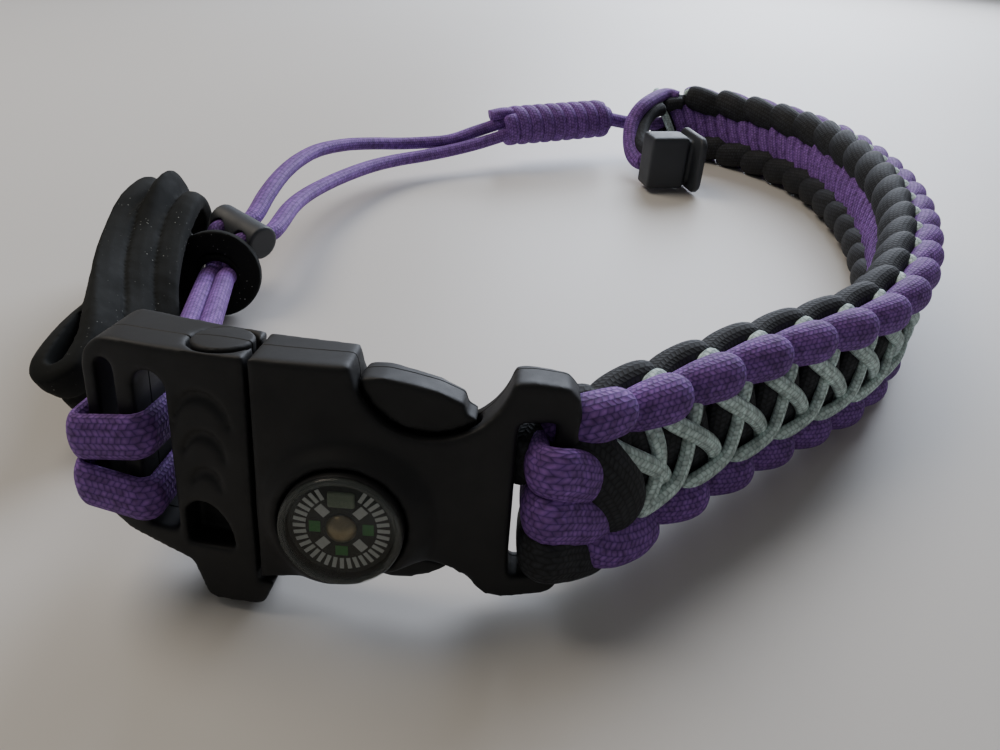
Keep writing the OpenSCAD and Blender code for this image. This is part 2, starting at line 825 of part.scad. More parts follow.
// Barrel knot, its anchor and the loop at the band's far end
knot_near = [-13.8, 84.4, 11.8];
knot_way = unit([32, 17, 0.4]);
knot_far = knot_near + knot_way * knot_length;
wrap_pitch = knot_length / knot_wraps;
module along_knot() {
    at_origin() translate(knot_near) rotate([0, 0, atan2(knot_way[1], knot_way[0])])
        rotate([0, 90 - asin(knot_way[2]), 0]) children();
}
module barrel_knot() {
    color(PURPLE_CORD) along_knot() {
        cylinder(d = knot_diameter - 1.6, h = knot_length);
        for (i = [0:knot_wraps - 1]) {
            translate([0, 0, (i + 0.5) * wrap_pitch]) rotate_extrude($fn = 32)
                translate([knot_diameter / 2 - wrap_pitch / 2, 0]) circle(d = wrap_pitch, $fn = 16);
        }
    }
}
module knot_anchor() {
    start = knot_far + knot_way * 0.3;
    end_way = [cos(band_end_heading), sin(band_end_heading), 0];
    stop = [band_end[0], band_end[1], 9.6] + 0.4 * end_way;
    color(PURPLE_CORD) at_origin() cord(
        round_cord(smooth([start, mix(start, stop, 0.5) + [0, -0.8, 0], stop], 4), end_loop_diameter),
        [0, 0, 1]
    );
}

block_middle = [32.2, 72.6, 8.6];
block_turn = 14;
end_loop_points = [
    [28.6, 100.6, 16.8],
    [25.2, 96, 12.6],
    [24.8, 90.5, 7.6],
    [26.2, 84.6, 5],
    [29, 80.4, 5],
    [31, 77.6, 6]
];
module end_loop() {
    end_way = [cos(band_end_heading), sin(band_end_heading), 0];
    from_band = [band_end[0], band_end[1], 15.6] + 0.9 * end_way;
    color(PURPLE_CORD) at_origin() cord(
        round_cord(smooth(concat([from_band], end_loop_points), 3), end_loop_diameter),
        [0.6, -0.8, 0.1]
    );
}
module end_block() {
    color(BLACK_PLASTIC) at_origin() translate(block_middle) rotate([0, 0, block_turn]) {
        cube([block_width, block_depth, block_height], center = true);
        translate([block_width / 2 + block_groove / 2, 0, 0])
            cube([block_groove + EPS, block_depth - 2, block_height - 3], center = true);
        translate([block_width / 2 + block_groove + block_rim / 2, 0, 0]) rotate([0, 90, 0]) intersection() {
            cube([block_height + 1.2, block_height + 1.2, block_rim], center = true);
            cylinder(d = 1.25 * (block_height + 1.2), h = block_rim, center = true);
        }
    }
}

// Rubber strap: a ribbed loop that twists, with an eyelet tab on its edge.
// Rows of [x, y, z] at the middle of the web, and the way across from its first rib to its last
strap_line = [
    [-75.9, -8.6, 7.9],
    [-76.5, -4.2, 8.9],
    [-76.9, -1.6, 12.6],
    [-76.4, -4.2, 16.3],
    [-75.6, -9, 17.6],
    [-74.6, -20, 16.6],
    [-71.6, -33, 14.4],
    [-68.2, -43.5, 11.6],
    [-66, -51.6, 10],
    [-66.3, -57.2, 8.5],
    [-67.3, -59.1, 7.6],
    [-69.3, -59.2, 6.9],
    [-70.8, -57.8, 7],
    [-71.1, -55.4, 7.7],
    [-70.4, -49.4, 8.6],
    [-70.2, -40, 8],
    [-71.4, -30, 7.6],
    [-73.8, -20, 7.4]
];
strap_across = [
    [0.92, -0.4, 0],
    [0.92, -0.4, 0],
    [0.92, -0.4, 0],
    [0.92, -0.4, 0],
    [0.92, -0.4, 0],
    [0.94, -0.3, -0.12],
    [0.92, -0.22, -0.3],
    [0.8, 0.02, -0.6],
    [0.52, 0.3, -0.8],
    [0.33, 0.42, -0.85],
    [0.33, 0.42, -0.85],
    [0.33, 0.42, -0.85],
    [0.33, 0.42, -0.85],
    [0.33, 0.42, -0.85],
    [0.45, 0.3, -0.84],
    [0.65, 0.05, -0.76],
    [0.8, -0.2, -0.55],
    [0.9, -0.38, -0.2]
];
// The strap's section: rows of [share of the width, share of the rib height], and the mark of its plain inside
STRAP_INSIDE = -1;
strap_section = [
    [-0.50, 0.00],
    [-0.47, 0.75],
    [-0.33, 1.00],
    [-0.19, 0.75],
    [-0.15, 0.05],
    [-0.11, 0.75],
    [0.03, 1.00],
    [0.15, 0.75],
    [0.19, 0.05],
    [0.23, 0.55],
    [0.36, 0.70],
    [0.47, 0.50],
    [0.50, 0.00]
];
module rubber_strap() {
    line = smooth_ring(strap_line, 3);
    across = smooth_ring(strap_across, 3);
    n = len(line);
    color(RUBBER) at_origin() {
        skin([
            for (i = [0:n - 1])
                let (
                    ahead = unit(line[(i + 1) % n] - line[(i + n - 1) % n]),
                    outer = unit(cross(ahead, across[i])),
                    side = unit(across[i])
                )
                [
                    for (row = concat(strap_section, [[0.5, STRAP_INSIDE], [-0.5, STRAP_INSIDE]]))
                        let (
                            off = row[1] == STRAP_INSIDE ? -strap_web / 2 : strap_web / 2 + row[1] * rib_height,
                            p = line[i] + side * row[0] * strap_width + outer * off
                        )
                        [p[0], p[1], max(0, p[2])]
                ]
        ], closed = true);
        difference() {
            translate(tab_middle) rotate([0, 0, atan2(tab_facing[1], tab_facing[0])])
                rotate([0, 90 - asin(tab_facing[2]), 0]) cylinder(d = tab_diameter, h = tab_thickness, center = true);
            translate(tab_middle) rotate([0, 0, atan2(tab_facing[1], tab_facing[0])])
                rotate([0, 90 - asin(tab_facing[2]), 0]) cylinder(d = eyelet_diameter, h = 20, center = true);
        }
    }
}

whistle_half();
side_plug();
socket_half();
compass_cup();
compass_dome();
compass_card();
pivot_cap();
woven_band();
purple_bar_loop_upper();
purple_bar_loop_lower();
black_bar_loop();
hitch_cord();
adjuster_cord_upper();
adjuster_cord_lower();
barrel_knot();
knot_anchor();
end_loop();
end_block();
cord_toggle();
rubber_strap();
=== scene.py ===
"""Visual model of a paracord bracelet with a whistle-and-compass buckle, lying fastened on its edge.

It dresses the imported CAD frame: the cords and the weave are built as strands, the moulded parts get soft
edges, and every piece rides on its CAD body. Lengths in the classes are millimetres of the part's source,
and everything that reaches Blender is in metres in the row frame.
"""

import logging
import math
from dataclasses import dataclass, field
from enum import Enum

import bpy
import numpy as np
from mathutils import Matrix


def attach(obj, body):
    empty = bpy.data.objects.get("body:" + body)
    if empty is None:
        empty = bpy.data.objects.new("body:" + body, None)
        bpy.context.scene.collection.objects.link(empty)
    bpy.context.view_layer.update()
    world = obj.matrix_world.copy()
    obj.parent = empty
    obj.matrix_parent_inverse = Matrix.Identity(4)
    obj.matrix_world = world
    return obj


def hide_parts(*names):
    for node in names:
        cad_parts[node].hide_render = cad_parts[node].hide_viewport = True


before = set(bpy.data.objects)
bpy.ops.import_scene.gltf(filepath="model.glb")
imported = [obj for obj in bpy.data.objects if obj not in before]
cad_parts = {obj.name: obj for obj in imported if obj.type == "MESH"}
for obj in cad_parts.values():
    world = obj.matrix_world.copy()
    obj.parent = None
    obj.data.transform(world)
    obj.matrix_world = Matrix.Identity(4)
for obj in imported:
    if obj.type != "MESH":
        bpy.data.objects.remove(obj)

log = logging.getLogger("bracelet")
MM = 0.001
# The part's source moves its origin below the middle of its box: this far, in millimetres
PART_MIDDLE = np.array([-0.266339, 11.7809, 0.0])
WORLD_UP = np.array([0.0, 0.0, 1.0])
Points = np.ndarray


class Body(Enum):
    """The CAD bodies that pieces ride on."""

    BRACELET = "bracelet"
    COMPASS = "compass"


class Slot(Enum):
    """The record's material slots."""

    BLACK_PLASTIC = "black_plastic"
    CLEAR_PLASTIC = "clear_plastic"
    COMPASS_PRINT = "compass_print"
    BRASS = "brass"
    BLACK_CORD = "black_cord"
    PURPLE_CORD = "purple_cord"
    BLACK_RUBBER = "black_rubber"
    NONE = ""


class Edge(Enum):
    """The band's two edges, as the sign of the upward way."""

    TOP = 1
    BOTTOM = -1


# General helpers


def to_frame(points: Points) -> Points:
    """Moves points from the source's millimetres to the row frame's metres.

    Args:
        points: rows of x, y, z in millimetres.

    Returns:
        The same rows in metres in the row frame.
    """
    return (np.asarray(points, float) - PART_MIDDLE) * MM


def unit(ways: Points) -> Points:
    """Scales each row to length 1.

    Args:
        ways: one way, or rows of ways.

    Returns:
        The same ways, each of length 1.
    """
    ways = np.asarray(ways, float)
    return ways / np.maximum(np.linalg.norm(ways, axis=-1, keepdims=True), 1e-12)


def curved(points: Points, steps: int) -> Points:
    """Draws a smooth curve through points.

    Args:
        points: rows of numbers, of which the first three are a place.
        steps: how many steps go from one point to the next.

    Returns:
        Rows along the curve, with the given points among them.
    """
    p = np.asarray(points, float)
    before = np.vstack([p[:1], p[:-1]])
    after = np.vstack([p[2:], p[-1:]])
    rows = []
    for i in range(len(p) - 1):
        a, b, c, d = before[i], p[i], p[i + 1], after[i]
        for k in range(steps):
            t = k / steps
            rows.append(
                0.5
                * (
                    2 * b
                    + (c - a) * t
                    + (2 * a - 5 * b + 4 * c - d) * t**2
                    + (3 * b - a - 3 * c + d) * t**3
                )
            )
    rows.append(p[-1])
    return np.array(rows)


def rounded(points: Points, radius: float, steps: int) -> Points:
    """Rounds the corners of a route.

    Args:
        points: rows of x, y, z and any further numbers.
        radius: radius of each corner, in the points' own units.
        steps: how many steps a quarter turn has.

    Returns:
        The rows of the rounded route.
    """
    p = np.asarray(points, float)
    rows = [p[0]]
    for i in range(1, len(p) - 1):
        here = p[i][:3]
        u = unit(p[i - 1][:3] - here)
        v = unit(p[i + 1][:3] - here)
        half = math.acos(max(-1.0, min(1.0, float(u @ v)))) / 2
        nearly_straight = math.radians(88)
        if half > nearly_straight:
            rows.append(p[i])
            continue
        middle = here + unit(u + v) * radius / math.sin(half)
        e = (here + u * radius / math.tan(half) - middle) / radius
        f = (here + v * radius / math.tan(half) - middle) / radius
        sweep = math.pi - 2 * half
        count = max(2, round(steps * sweep / (math.pi / 2)))
        for k in range(count + 1):
            t = k / count
            swept = (math.sin(sweep * (1 - t)) * e + math.sin(sweep * t) * f) / math.sin(sweep)
            rows.append(np.concatenate([middle + radius * swept, p[i][3:]]))
    rows.append(p[-1])
    return np.array(rows)


def evenly(points: Points, spacing: float) -> Points:
    """Spaces the rows of a line evenly.

    Args:
        points: rows of x, y, z and any further numbers.
        spacing: about how far apart the new rows are.

    Returns:
        Rows at equal distances along the same line.
    """
    p = np.asarray(points, float)
    marks = along(p)
    count = max(2, round(marks[-1] / spacing))
    wanted = np.linspace(0, marks[-1], count + 1)
    return np.stack([np.interp(wanted, marks, column) for column in p.T], axis=1)


def along(points: Points) -> Points:
    """How far each row of a line is from its start.

    Args:
        points: rows that begin with x, y, z.

    Returns:
        One distance for each row.
    """
    steps = np.linalg.norm(np.diff(np.asarray(points, float)[:, :3], axis=0), axis=1)
    return np.concatenate([[0.0], np.cumsum(steps)])


def deselect_all() -> None:
    """Leaves object mode with nothing selected, because operators act on all that is selected."""
    if bpy.context.object and bpy.context.object.mode != "OBJECT":
        bpy.ops.object.mode_set(mode="OBJECT")
    bpy.ops.object.select_all(action="DESELECT")


def pick(piece: bpy.types.Object) -> None:
    """Makes one piece the only selected and the active one.

    Args:
        piece: the piece to work on.
    """
    deselect_all()
    piece.select_set(True)
    bpy.context.view_layer.objects.active = piece


def edit_all(piece: bpy.types.Object) -> None:
    """Goes into edit mode on one piece, with all of it selected.

    Args:
        piece: the piece to work on.
    """
    pick(piece)
    bpy.ops.object.mode_set(mode="EDIT")
    bpy.ops.mesh.select_all(action="SELECT")


def add_object(name: str, data: bpy.types.ID) -> bpy.types.Object:
    """Adds an object at the origin.

    Args:
        name: its name.
        data: its mesh, light or camera.

    Returns:
        The new object.
    """
    made = bpy.data.objects.new(name, data)
    bpy.context.scene.collection.objects.link(made)
    return made


def apply_modifier(piece: bpy.types.Object, kind: str, **settings: object) -> None:
    """Adds one modifier and applies it.

    Args:
        piece: the piece, which is the only selected one.
        kind: the modifier's type.
        settings: the modifier's own settings.
    """
    made = piece.modifiers.new(kind.lower(), kind)
    for key, value in settings.items():
        setattr(made, key, value)
    bpy.ops.object.modifier_apply(modifier=made.name)


def build_all(part: str, makers: tuple) -> None:
    """Builds the pieces of one sub-assembly and reports each.

    Args:
        part: the sub-assembly's name.
        makers: methods that build one piece each.
    """
    for make in makers:
        log.info("%s: %s", part, make().name)


# Materials


def scale(width: float) -> float:
    """The scale of a pattern whose marks are this many millimetres wide."""
    return 1 / (width * MM)


def linear(colour: str) -> tuple[float, float, float, float]:
    """Turns an sRGB hex colour to the linear values that shaders take.

    Args:
        colour: six hex digits.

    Returns:
        Red, green, blue and an alpha of 1.
    """
    values = []
    for i in (0, 2, 4):
        c = int(colour[i : i + 2], 16) / 255
        values.append(c / 12.92 if c <= 0.04045 else ((c + 0.055) / 1.055) ** 2.4)
    return (values[0], values[1], values[2], 1.0)


class Shader:
    """A material's node tree, with one helper that adds a node."""

    def __init__(self, name: str) -> None:
        """Starts a material with one principled shader and the object's own coordinates.

        Args:
            name: the material's name.
        """
        self.material = bpy.data.materials.new(name)
        self.material.use_nodes = True
        self.tree = self.material.node_tree
        self.surface = self.tree.nodes["Principled BSDF"]
        self.place = self.add("TexCoord", {}).node.outputs["Object"]

    def add(self, kind: str, links: dict, **settings: object) -> bpy.types.NodeSocket:
        """Adds a node.

        Args:
            kind: the node's type, without the ShaderNode that it starts with.
            links: for each input, by name or number, a socket to link or a value to set.
            settings: the node's own settings.

        Returns:
            The node's first output that is in use.
        """
        made = self.tree.nodes.new("ShaderNode" + kind)
        for key, value in settings.items():
            setattr(made, key, value)
        for key, value in links.items():
            self.join(made.inputs[key], value)
        return next(s for s in made.outputs if s.enabled)

    def join(self, socket: bpy.types.NodeSocket, value: object) -> None:
        """Links a socket to an input, or sets the input where it is given a value.

        Args:
            socket: the input.
            value: another node's output, or a plain value.
        """
        if isinstance(value, bpy.types.NodeSocket):
            self.tree.links.new(value, socket)
        else:
            socket.default_value = value

    def set_surface(self, **values: object) -> None:
        """Sets or links the principled shader's inputs.

        Args:
            values: for each input, its name with underscores, and a socket or a value.
        """
        for key, value in values.items():
            self.join(self.surface.inputs[key.replace("_", " ")], value)


@dataclass(frozen=True)
class Finish:
    """What a piece is made of: a material, and the record's slot that it belongs to."""

    name: str
    slot: Slot

    def dress(self, s: Shader) -> None:
        """Adds the finish's own nodes to a new material."""
        raise NotImplementedError

    def material(self) -> bpy.types.Material:
        """Makes the material, with the finish's own nodes in it.

        Returns:
            The material.
        """
        s = Shader(self.name)
        self.dress(s)
        return s.material


@dataclass(frozen=True)
class BraidedNylon(Finish):
    """Nylon paracord with a braided sheath.

    The sheath shows as columns of slanted strands that lean left and right in turn. Each strand's top is
    painted lighter, a painted highlight, and it is painted darker where it dives under the next, painted
    shade; loose filaments give a soft sheen.
    """

    # Colours of the strands' tops, of their sides, and of the gaps between them: the top colour is a
    # painted highlight and the gap colour painted shade
    top: str
    side: str
    gap_shade: str
    # Length of one strand's float along the cord, in millimetres, and how far it leans across its column
    row: float = 0.7
    lean: float = 0.38
    # Depth of the gaps between strands, in millimetres
    depth: float = 0.075
    sheen: float = 0.15
    roughness: float = 0.72
    # Width of the worn patches, of the strands' own unevenness and of the filaments, in millimetres
    patch: float = 9.0
    cell: float = 0.9
    filament: float = 0.22
    # How dark and how light the worn patches get, and single strands, and how high the filaments stand
    wear: tuple[float, float] = (0.82, 1.12)
    unevenness: tuple[float, float] = (0.66, 1.34)
    fuzz: float = 0.16

    def dress(self, s: Shader) -> None:
        """Builds the braid from the cord UV map, u in columns and v in millimetres.

        Args:
            s: the new material.
        """
        place = s.add("UVMap", {}, uv_map="cord")
        split = s.add("SeparateXYZ", {0: place}).node.outputs
        # Columns lean left and right in turn, and every other one is half a float further along
        column = s.add("Math", {0: split[0]}, operation="FLOOR")
        odd = s.add("Math", {0: column, 1: 2.0}, operation="FLOORED_MODULO")
        lean = s.add("Math", {0: odd, 1: -2.0 * self.lean, 2: self.lean}, operation="MULTIPLY_ADD")
        centred = s.add("Math", {0: split[0], 1: -0.5}, operation="ADD")
        across = s.add("Math", {0: centred, 1: column}, operation="SUBTRACT")
        slant = s.add("Math", {0: lean, 1: across}, operation="MULTIPLY")
        rows = s.add("Math", {0: split[1], 1: 1 / self.row, 2: slant}, operation="MULTIPLY_ADD")
        shift = s.add("Math", {0: odd, 1: 0.5, 2: rows}, operation="MULTIPLY_ADD")
        passed = s.add("Math", {0: shift}, operation="FRACT")
        within = s.add("Math", {0: split[0]}, operation="FRACT")
        # A strand is a low hump both across its column and along its float
        humps = []
        for share, power in ((within, 0.7), (passed, 0.8)):
            angle = s.add("Math", {0: share, 1: math.pi}, operation="MULTIPLY")
            wave = s.add("Math", {0: angle}, operation="SINE")
            humps.append(s.add("Math", {0: wave, 1: power}, operation="POWER"))
        height = s.add("Math", {0: humps[0], 1: humps[1]}, operation="MULTIPLY")
        # The colour follows the hump's height: painted shade in the gaps, the side colour between, and a
        # painted highlight on the tops
        tone = s.add("ValToRGB", {0: height})
        ramp = tone.node.color_ramp
        ramp.elements[0].position = 0.0
        ramp.elements[0].color = linear(self.gap_shade)
        ramp.elements[1].position = 0.95
        ramp.elements[1].color = linear(self.top)
        ramp.elements.new(0.3).color = linear(self.side)
        # Wear in broad patches, uneven strands, and loose filaments that stand up between them
        patches = s.add("TexNoise", {"Vector": s.place, "Scale": scale(self.patch), "Detail": 2.0})
        worn = s.add("MapRange", {0: patches, 1: 0.3, 2: 0.7, 3: self.wear[0], 4: self.wear[1]})
        cells = s.add("TexNoise", {"Vector": s.place, "Scale": scale(self.cell), "Detail": 1.0})
        dark, light = self.unevenness
        uneven = s.add("MapRange", {0: cells, 1: 0.3, 2: 0.7, 3: dark, 4: light})
        both = s.add("Math", {0: worn, 1: uneven}, operation="MULTIPLY")
        colour = s.add("VectorMath", {0: tone, 1: both}, operation="MULTIPLY")
        filaments = s.add("TexNoise", {"Vector": s.place, "Scale": scale(self.filament), "Detail": 1.0})
        rough_height = s.add("Math", {0: filaments, 1: self.fuzz, 2: height}, operation="MULTIPLY_ADD")
        bump = s.add("Bump", {"Height": rough_height, "Strength": 0.9, "Distance": self.depth * MM})
        s.set_surface(
            Base_Color=colour,
            Roughness=self.roughness,
            Normal=bump,
            IOR=1.4,
            Sheen_Weight=self.sheen,
            Sheen_Roughness=0.5,
            Sheen_Tint=linear(self.top),
        )


@dataclass(frozen=True)
class MouldedPlastic(Finish):
    """Injection-moulded plastic or rubber with a fine sparked grain.

    The grain breaks the highlight into a soft satin, handling polishes small patches, and on rubber pale
    dust clings in specks.
    """

    colour: str
    worn: str
    roughness: float
    # How much smoother the polished patches are, and how much rougher the scuffed ones
    polish: float = 0.07
    scuff: float = 0.08
    # Width of the grain and its depth, and the width of the patches, in millimetres
    grain: float = 0.12
    grain_depth: float = 0.012
    patch: float = 6.0
    # How strongly specks of dust whiten it, from 0 to 1, how far apart they are, and their colour
    dust: float = 0.0
    dust_spacing: float = 0.85
    dust_colour: str = "B9BBB4"
    ior: float = 1.49
    # Whether the mould's parting line shows as a fine step half way through the buckle
    parting: bool = False

    def dress(self, s: Shader) -> None:
        """Builds the finish from object coordinates.

        Args:
            s: the new material.
        """
        spots = {"Vector": s.place, "Scale": scale(self.patch), "Detail": 4.0, "Roughness": 0.6}
        patches = s.add("TexNoise", spots)
        tone = s.add("Mix", {0: patches, 6: linear(self.colour), 7: linear(self.worn)}, data_type="RGBA")
        grain = s.add("TexNoise", {"Vector": s.place, "Scale": scale(self.grain), "Detail": 2.0})
        bump = s.add("Bump", {"Height": grain, "Strength": 0.8, "Distance": self.grain_depth * MM})
        smooth, dull = self.roughness - self.polish, self.roughness + self.scuff
        rough = s.add("MapRange", {0: patches, 1: 0.3, 2: 0.7, 3: smooth, 4: dull})
        if self.dust > 0:
            # The specks gather in patches, with few between them
            cells = {"Vector": s.place, "Scale": scale(self.dust_spacing)}
            specks = s.add("TexVoronoi", cells, feature="F1")
            near = s.add("MapRange", {0: specks, 1: 0.07, 2: 0.13, 3: self.dust, 4: 0.0})
            few = s.add("MapRange", {0: patches, 1: 0.52, 2: 0.64, 3: 0.03, 4: 1.0})
            share = s.add("Math", {0: near, 1: few}, operation="MULTIPLY")
            tone = s.add("Mix", {0: share, 6: tone, 7: linear(self.dust_colour)}, data_type="RGBA")
        if self.parting:
            bump = self.parting_step(s, bump)
        s.set_surface(Base_Color=tone, Roughness=rough, Normal=bump, IOR=self.ior)

    def parting_step(self, s: Shader, bump: bpy.types.NodeSocket) -> bpy.types.NodeSocket:
        """Adds the fine step where the two halves of the buckle's mould met.

        Args:
            s: the material that gets it.
            bump: the normal that the grain gives.

        Returns:
            The normal with the step as well.
        """
        buckle = Buckle()
        middle = to_frame([buckle.foot])[0] / MM
        local = []
        for way in buckle.turned([[1, 0, 0], [0, 1, 0]]):
            dot = s.add("VectorMath", {0: s.place, 1: tuple(way / MM)}, operation="DOT_PRODUCT")
            far = {0: dot.node.outputs["Value"], 1: float(way @ middle)}
            local.append(s.add("Math", far, operation="SUBTRACT"))
        square = s.add("Math", {0: local[0], 1: 2.0}, operation="POWER")
        bend = {0: square, 1: -0.5 / buckle.face_radius, 2: local[1]}
        curve = s.add("Math", bend, operation="MULTIPLY_ADD")
        apart = s.add("Math", {0: curve, 1: buckle.parting_depth}, operation="SUBTRACT")
        half = buckle.parting_width / 2
        share = {0: apart, 1: -half, 2: half, 3: 0.0, 4: 1.0}
        step = s.add("MapRange", share, interpolation_type="SMOOTHSTEP")
        high = buckle.parting_height * MM
        return s.add("Bump", {"Height": step, "Normal": bump, "Strength": 1.0, "Distance": high})


@dataclass(frozen=True)
class ClearStyrene(Finish):
    """Clear polystyrene, pressed thin, with a faint haze of handling."""

    # How much of it is seen, and the colour that it gives to what is behind
    cover: float = 0.2
    tint: str = "151A18"
    # Width of the clouds of haze, in millimetres, and the least and the most roughness
    haze: float = 2.5
    roughness: tuple[float, float] = (0.01, 0.05)

    def dress(self, s: Shader) -> None:
        """Builds a thin clear shell.

        Args:
            s: the new material.
        """
        haze = s.add("TexNoise", {"Vector": s.place, "Scale": scale(self.haze), "Detail": 5.0})
        clear, dim = self.roughness
        rough = s.add("MapRange", {0: haze, 1: 0.35, 2: 0.7, 3: clear, 4: dim})
        s.set_surface(
            Base_Color=linear(self.tint),
            Roughness=rough,
            IOR=1.59,
            Alpha=self.cover,
            Coat_Weight=1.0,
            Coat_Roughness=0.02,
        )


@dataclass(frozen=True)
class PrintedInk(Finish):
    """Screen-printed ink on a moulded card, a little grainy where the ink is thin."""

    colour: str
    glow: str
    # Width of the grain and its depth, in millimetres
    grain: float = 0.25
    grain_depth: float = 0.01
    roughness: float = 0.55

    def dress(self, s: Shader) -> None:
        """Builds the ink from object coordinates.

        Args:
            s: the new material.
        """
        grain = s.add("TexNoise", {"Vector": s.place, "Scale": scale(self.grain), "Detail": 2.0})
        tone = s.add("Mix", {0: grain, 6: linear(self.colour), 7: linear(self.glow)}, data_type="RGBA")
        bump = s.add("Bump", {"Height": grain, "Strength": 0.4, "Distance": self.grain_depth * MM})
        s.set_surface(Base_Color=tone, Roughness=self.roughness, Normal=bump)


@dataclass(frozen=True)
class TurnedBrass(Finish):
    """Brass that has dulled: a warm, soft mirror with faint tarnish."""

    tarnish: str = "9A8A68"
    bright: str = "C9BD9C"
    # Width of the marks, in millimetres, and the least and the most roughness
    mark: float = 0.2
    roughness: tuple[float, float] = (0.28, 0.42)

    def dress(self, s: Shader) -> None:
        """Builds the brass; a metal keeps the default IOR.

        Args:
            s: the new material.
        """
        marks = s.add("TexNoise", {"Vector": s.place, "Scale": scale(self.mark), "Detail": 3.0})
        tone = s.add("Mix", {0: marks, 6: linear(self.tarnish), 7: linear(self.bright)}, data_type="RGBA")
        low, high = self.roughness
        rough = s.add("MapRange", {0: marks, 1: 0.3, 2: 0.7, 3: low, 4: high})
        s.set_surface(Base_Color=tone, Roughness=rough, Metallic=1.0)


@dataclass(frozen=True)
class PaleLaminate(Finish):
    """Pale table laminate, satin and faintly cloudy, which takes soft shadows and dim reflections."""

    shade: str = "D2CEC8"
    light: str = "D8D5D1"
    clouds_per_metre: float = 6.0

    def dress(self, s: Shader) -> None:
        """Builds the surface from object coordinates.

        Args:
            s: the new material.
        """
        clouds = s.add("TexNoise", {"Vector": s.place, "Scale": self.clouds_per_metre, "Detail": 3.0})
        tone = s.add("Mix", {0: clouds, 6: linear(self.shade), 7: linear(self.light)}, data_type="RGBA")
        s.set_surface(Base_Color=tone, Roughness=0.45, IOR=1.45)


# Each braid's top colour is a painted highlight and its gap colour painted shade
PURPLE_NYLON = BraidedNylon(
    "purple_braided_nylon", Slot.PURPLE_CORD, top="875DA8", side="6E4A93", gap_shade="4E3670"
)
BLACK_NYLON = BraidedNylon(
    "black_braided_nylon", Slot.BLACK_CORD, top="2B2D32", side="202226", gap_shade="15161A", depth=0.06, sheen=0.1
)
MINT_NYLON = BraidedNylon(
    "mint_braided_nylon", Slot.NONE, top="CEDFDC", side="B9CDC9", gap_shade="8BA09C", depth=0.06, sheen=0.1
)
BLACK_ACETAL = MouldedPlastic(
    "black_acetal",
    Slot.BLACK_PLASTIC,
    colour="111214",
    worn="17181A",
    roughness=0.6,
    ior=1.45,
    parting=True,
)
BLACK_NYLON_PLASTIC = MouldedPlastic(
    "black_nylon_plastic", Slot.BLACK_PLASTIC, colour="2A2D32", worn="34383D", roughness=0.55
)
BLACK_RUBBER = MouldedPlastic(
    "black_silicone_rubber",
    Slot.BLACK_RUBBER,
    colour="0E100F",
    worn="151716",
    roughness=0.86,
    grain=0.18,
    grain_depth=0.02,
    dust=0.9,
    ior=1.34,
)
DOME_STYRENE = ClearStyrene("clear_styrene", Slot.CLEAR_PLASTIC)
# The dome's rounded edge is real; its pale tint and stronger cover are a painted highlight along it
EDGE_STYRENE_HIGHLIGHT = ClearStyrene("clear_styrene_edge_highlight", Slot.CLEAR_PLASTIC, cover=0.24, tint="6C7470")
CARD_INK = PrintedInk("card_black_ink", Slot.COMPASS_PRINT, colour="0E1512", glow="16221B")
WHITE_INK = PrintedInk("card_white_ink", Slot.COMPASS_PRINT, colour="D2DAD3", glow="F0F4F0")
GREEN_INK = PrintedInk("card_luminous_ink", Slot.COMPASS_PRINT, colour="2F8540", glow="55A957")
POD_RESIN = PrintedInk("pod_pale_resin", Slot.COMPASS_PRINT, colour="748470", glow="A0AF95")
PIVOT_BRASS = TurnedBrass("turned_brass", Slot.BRASS)
FLOOR_LAMINATE = PaleLaminate("pale_laminate", Slot.NONE)


def hand_over(
    piece: bpy.types.Object,
    finish: Finish,
    body: Body = Body.BRACELET,
    replaced: tuple[str, ...] = (),
) -> bpy.types.Object:
    """Gives a finished piece its material and its body.

    Args:
        piece: the finished piece.
        finish: what it is made of.
        body: the CAD body that it rides on.
        replaced: the CAD nodes that it stands for.

    Returns:
        The same piece.
    """
    piece.data.materials.clear()
    piece.data.materials.append(finish.material())
    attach(piece, body.value)
    if replaced:
        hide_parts(*replaced)
    return piece


# Cords


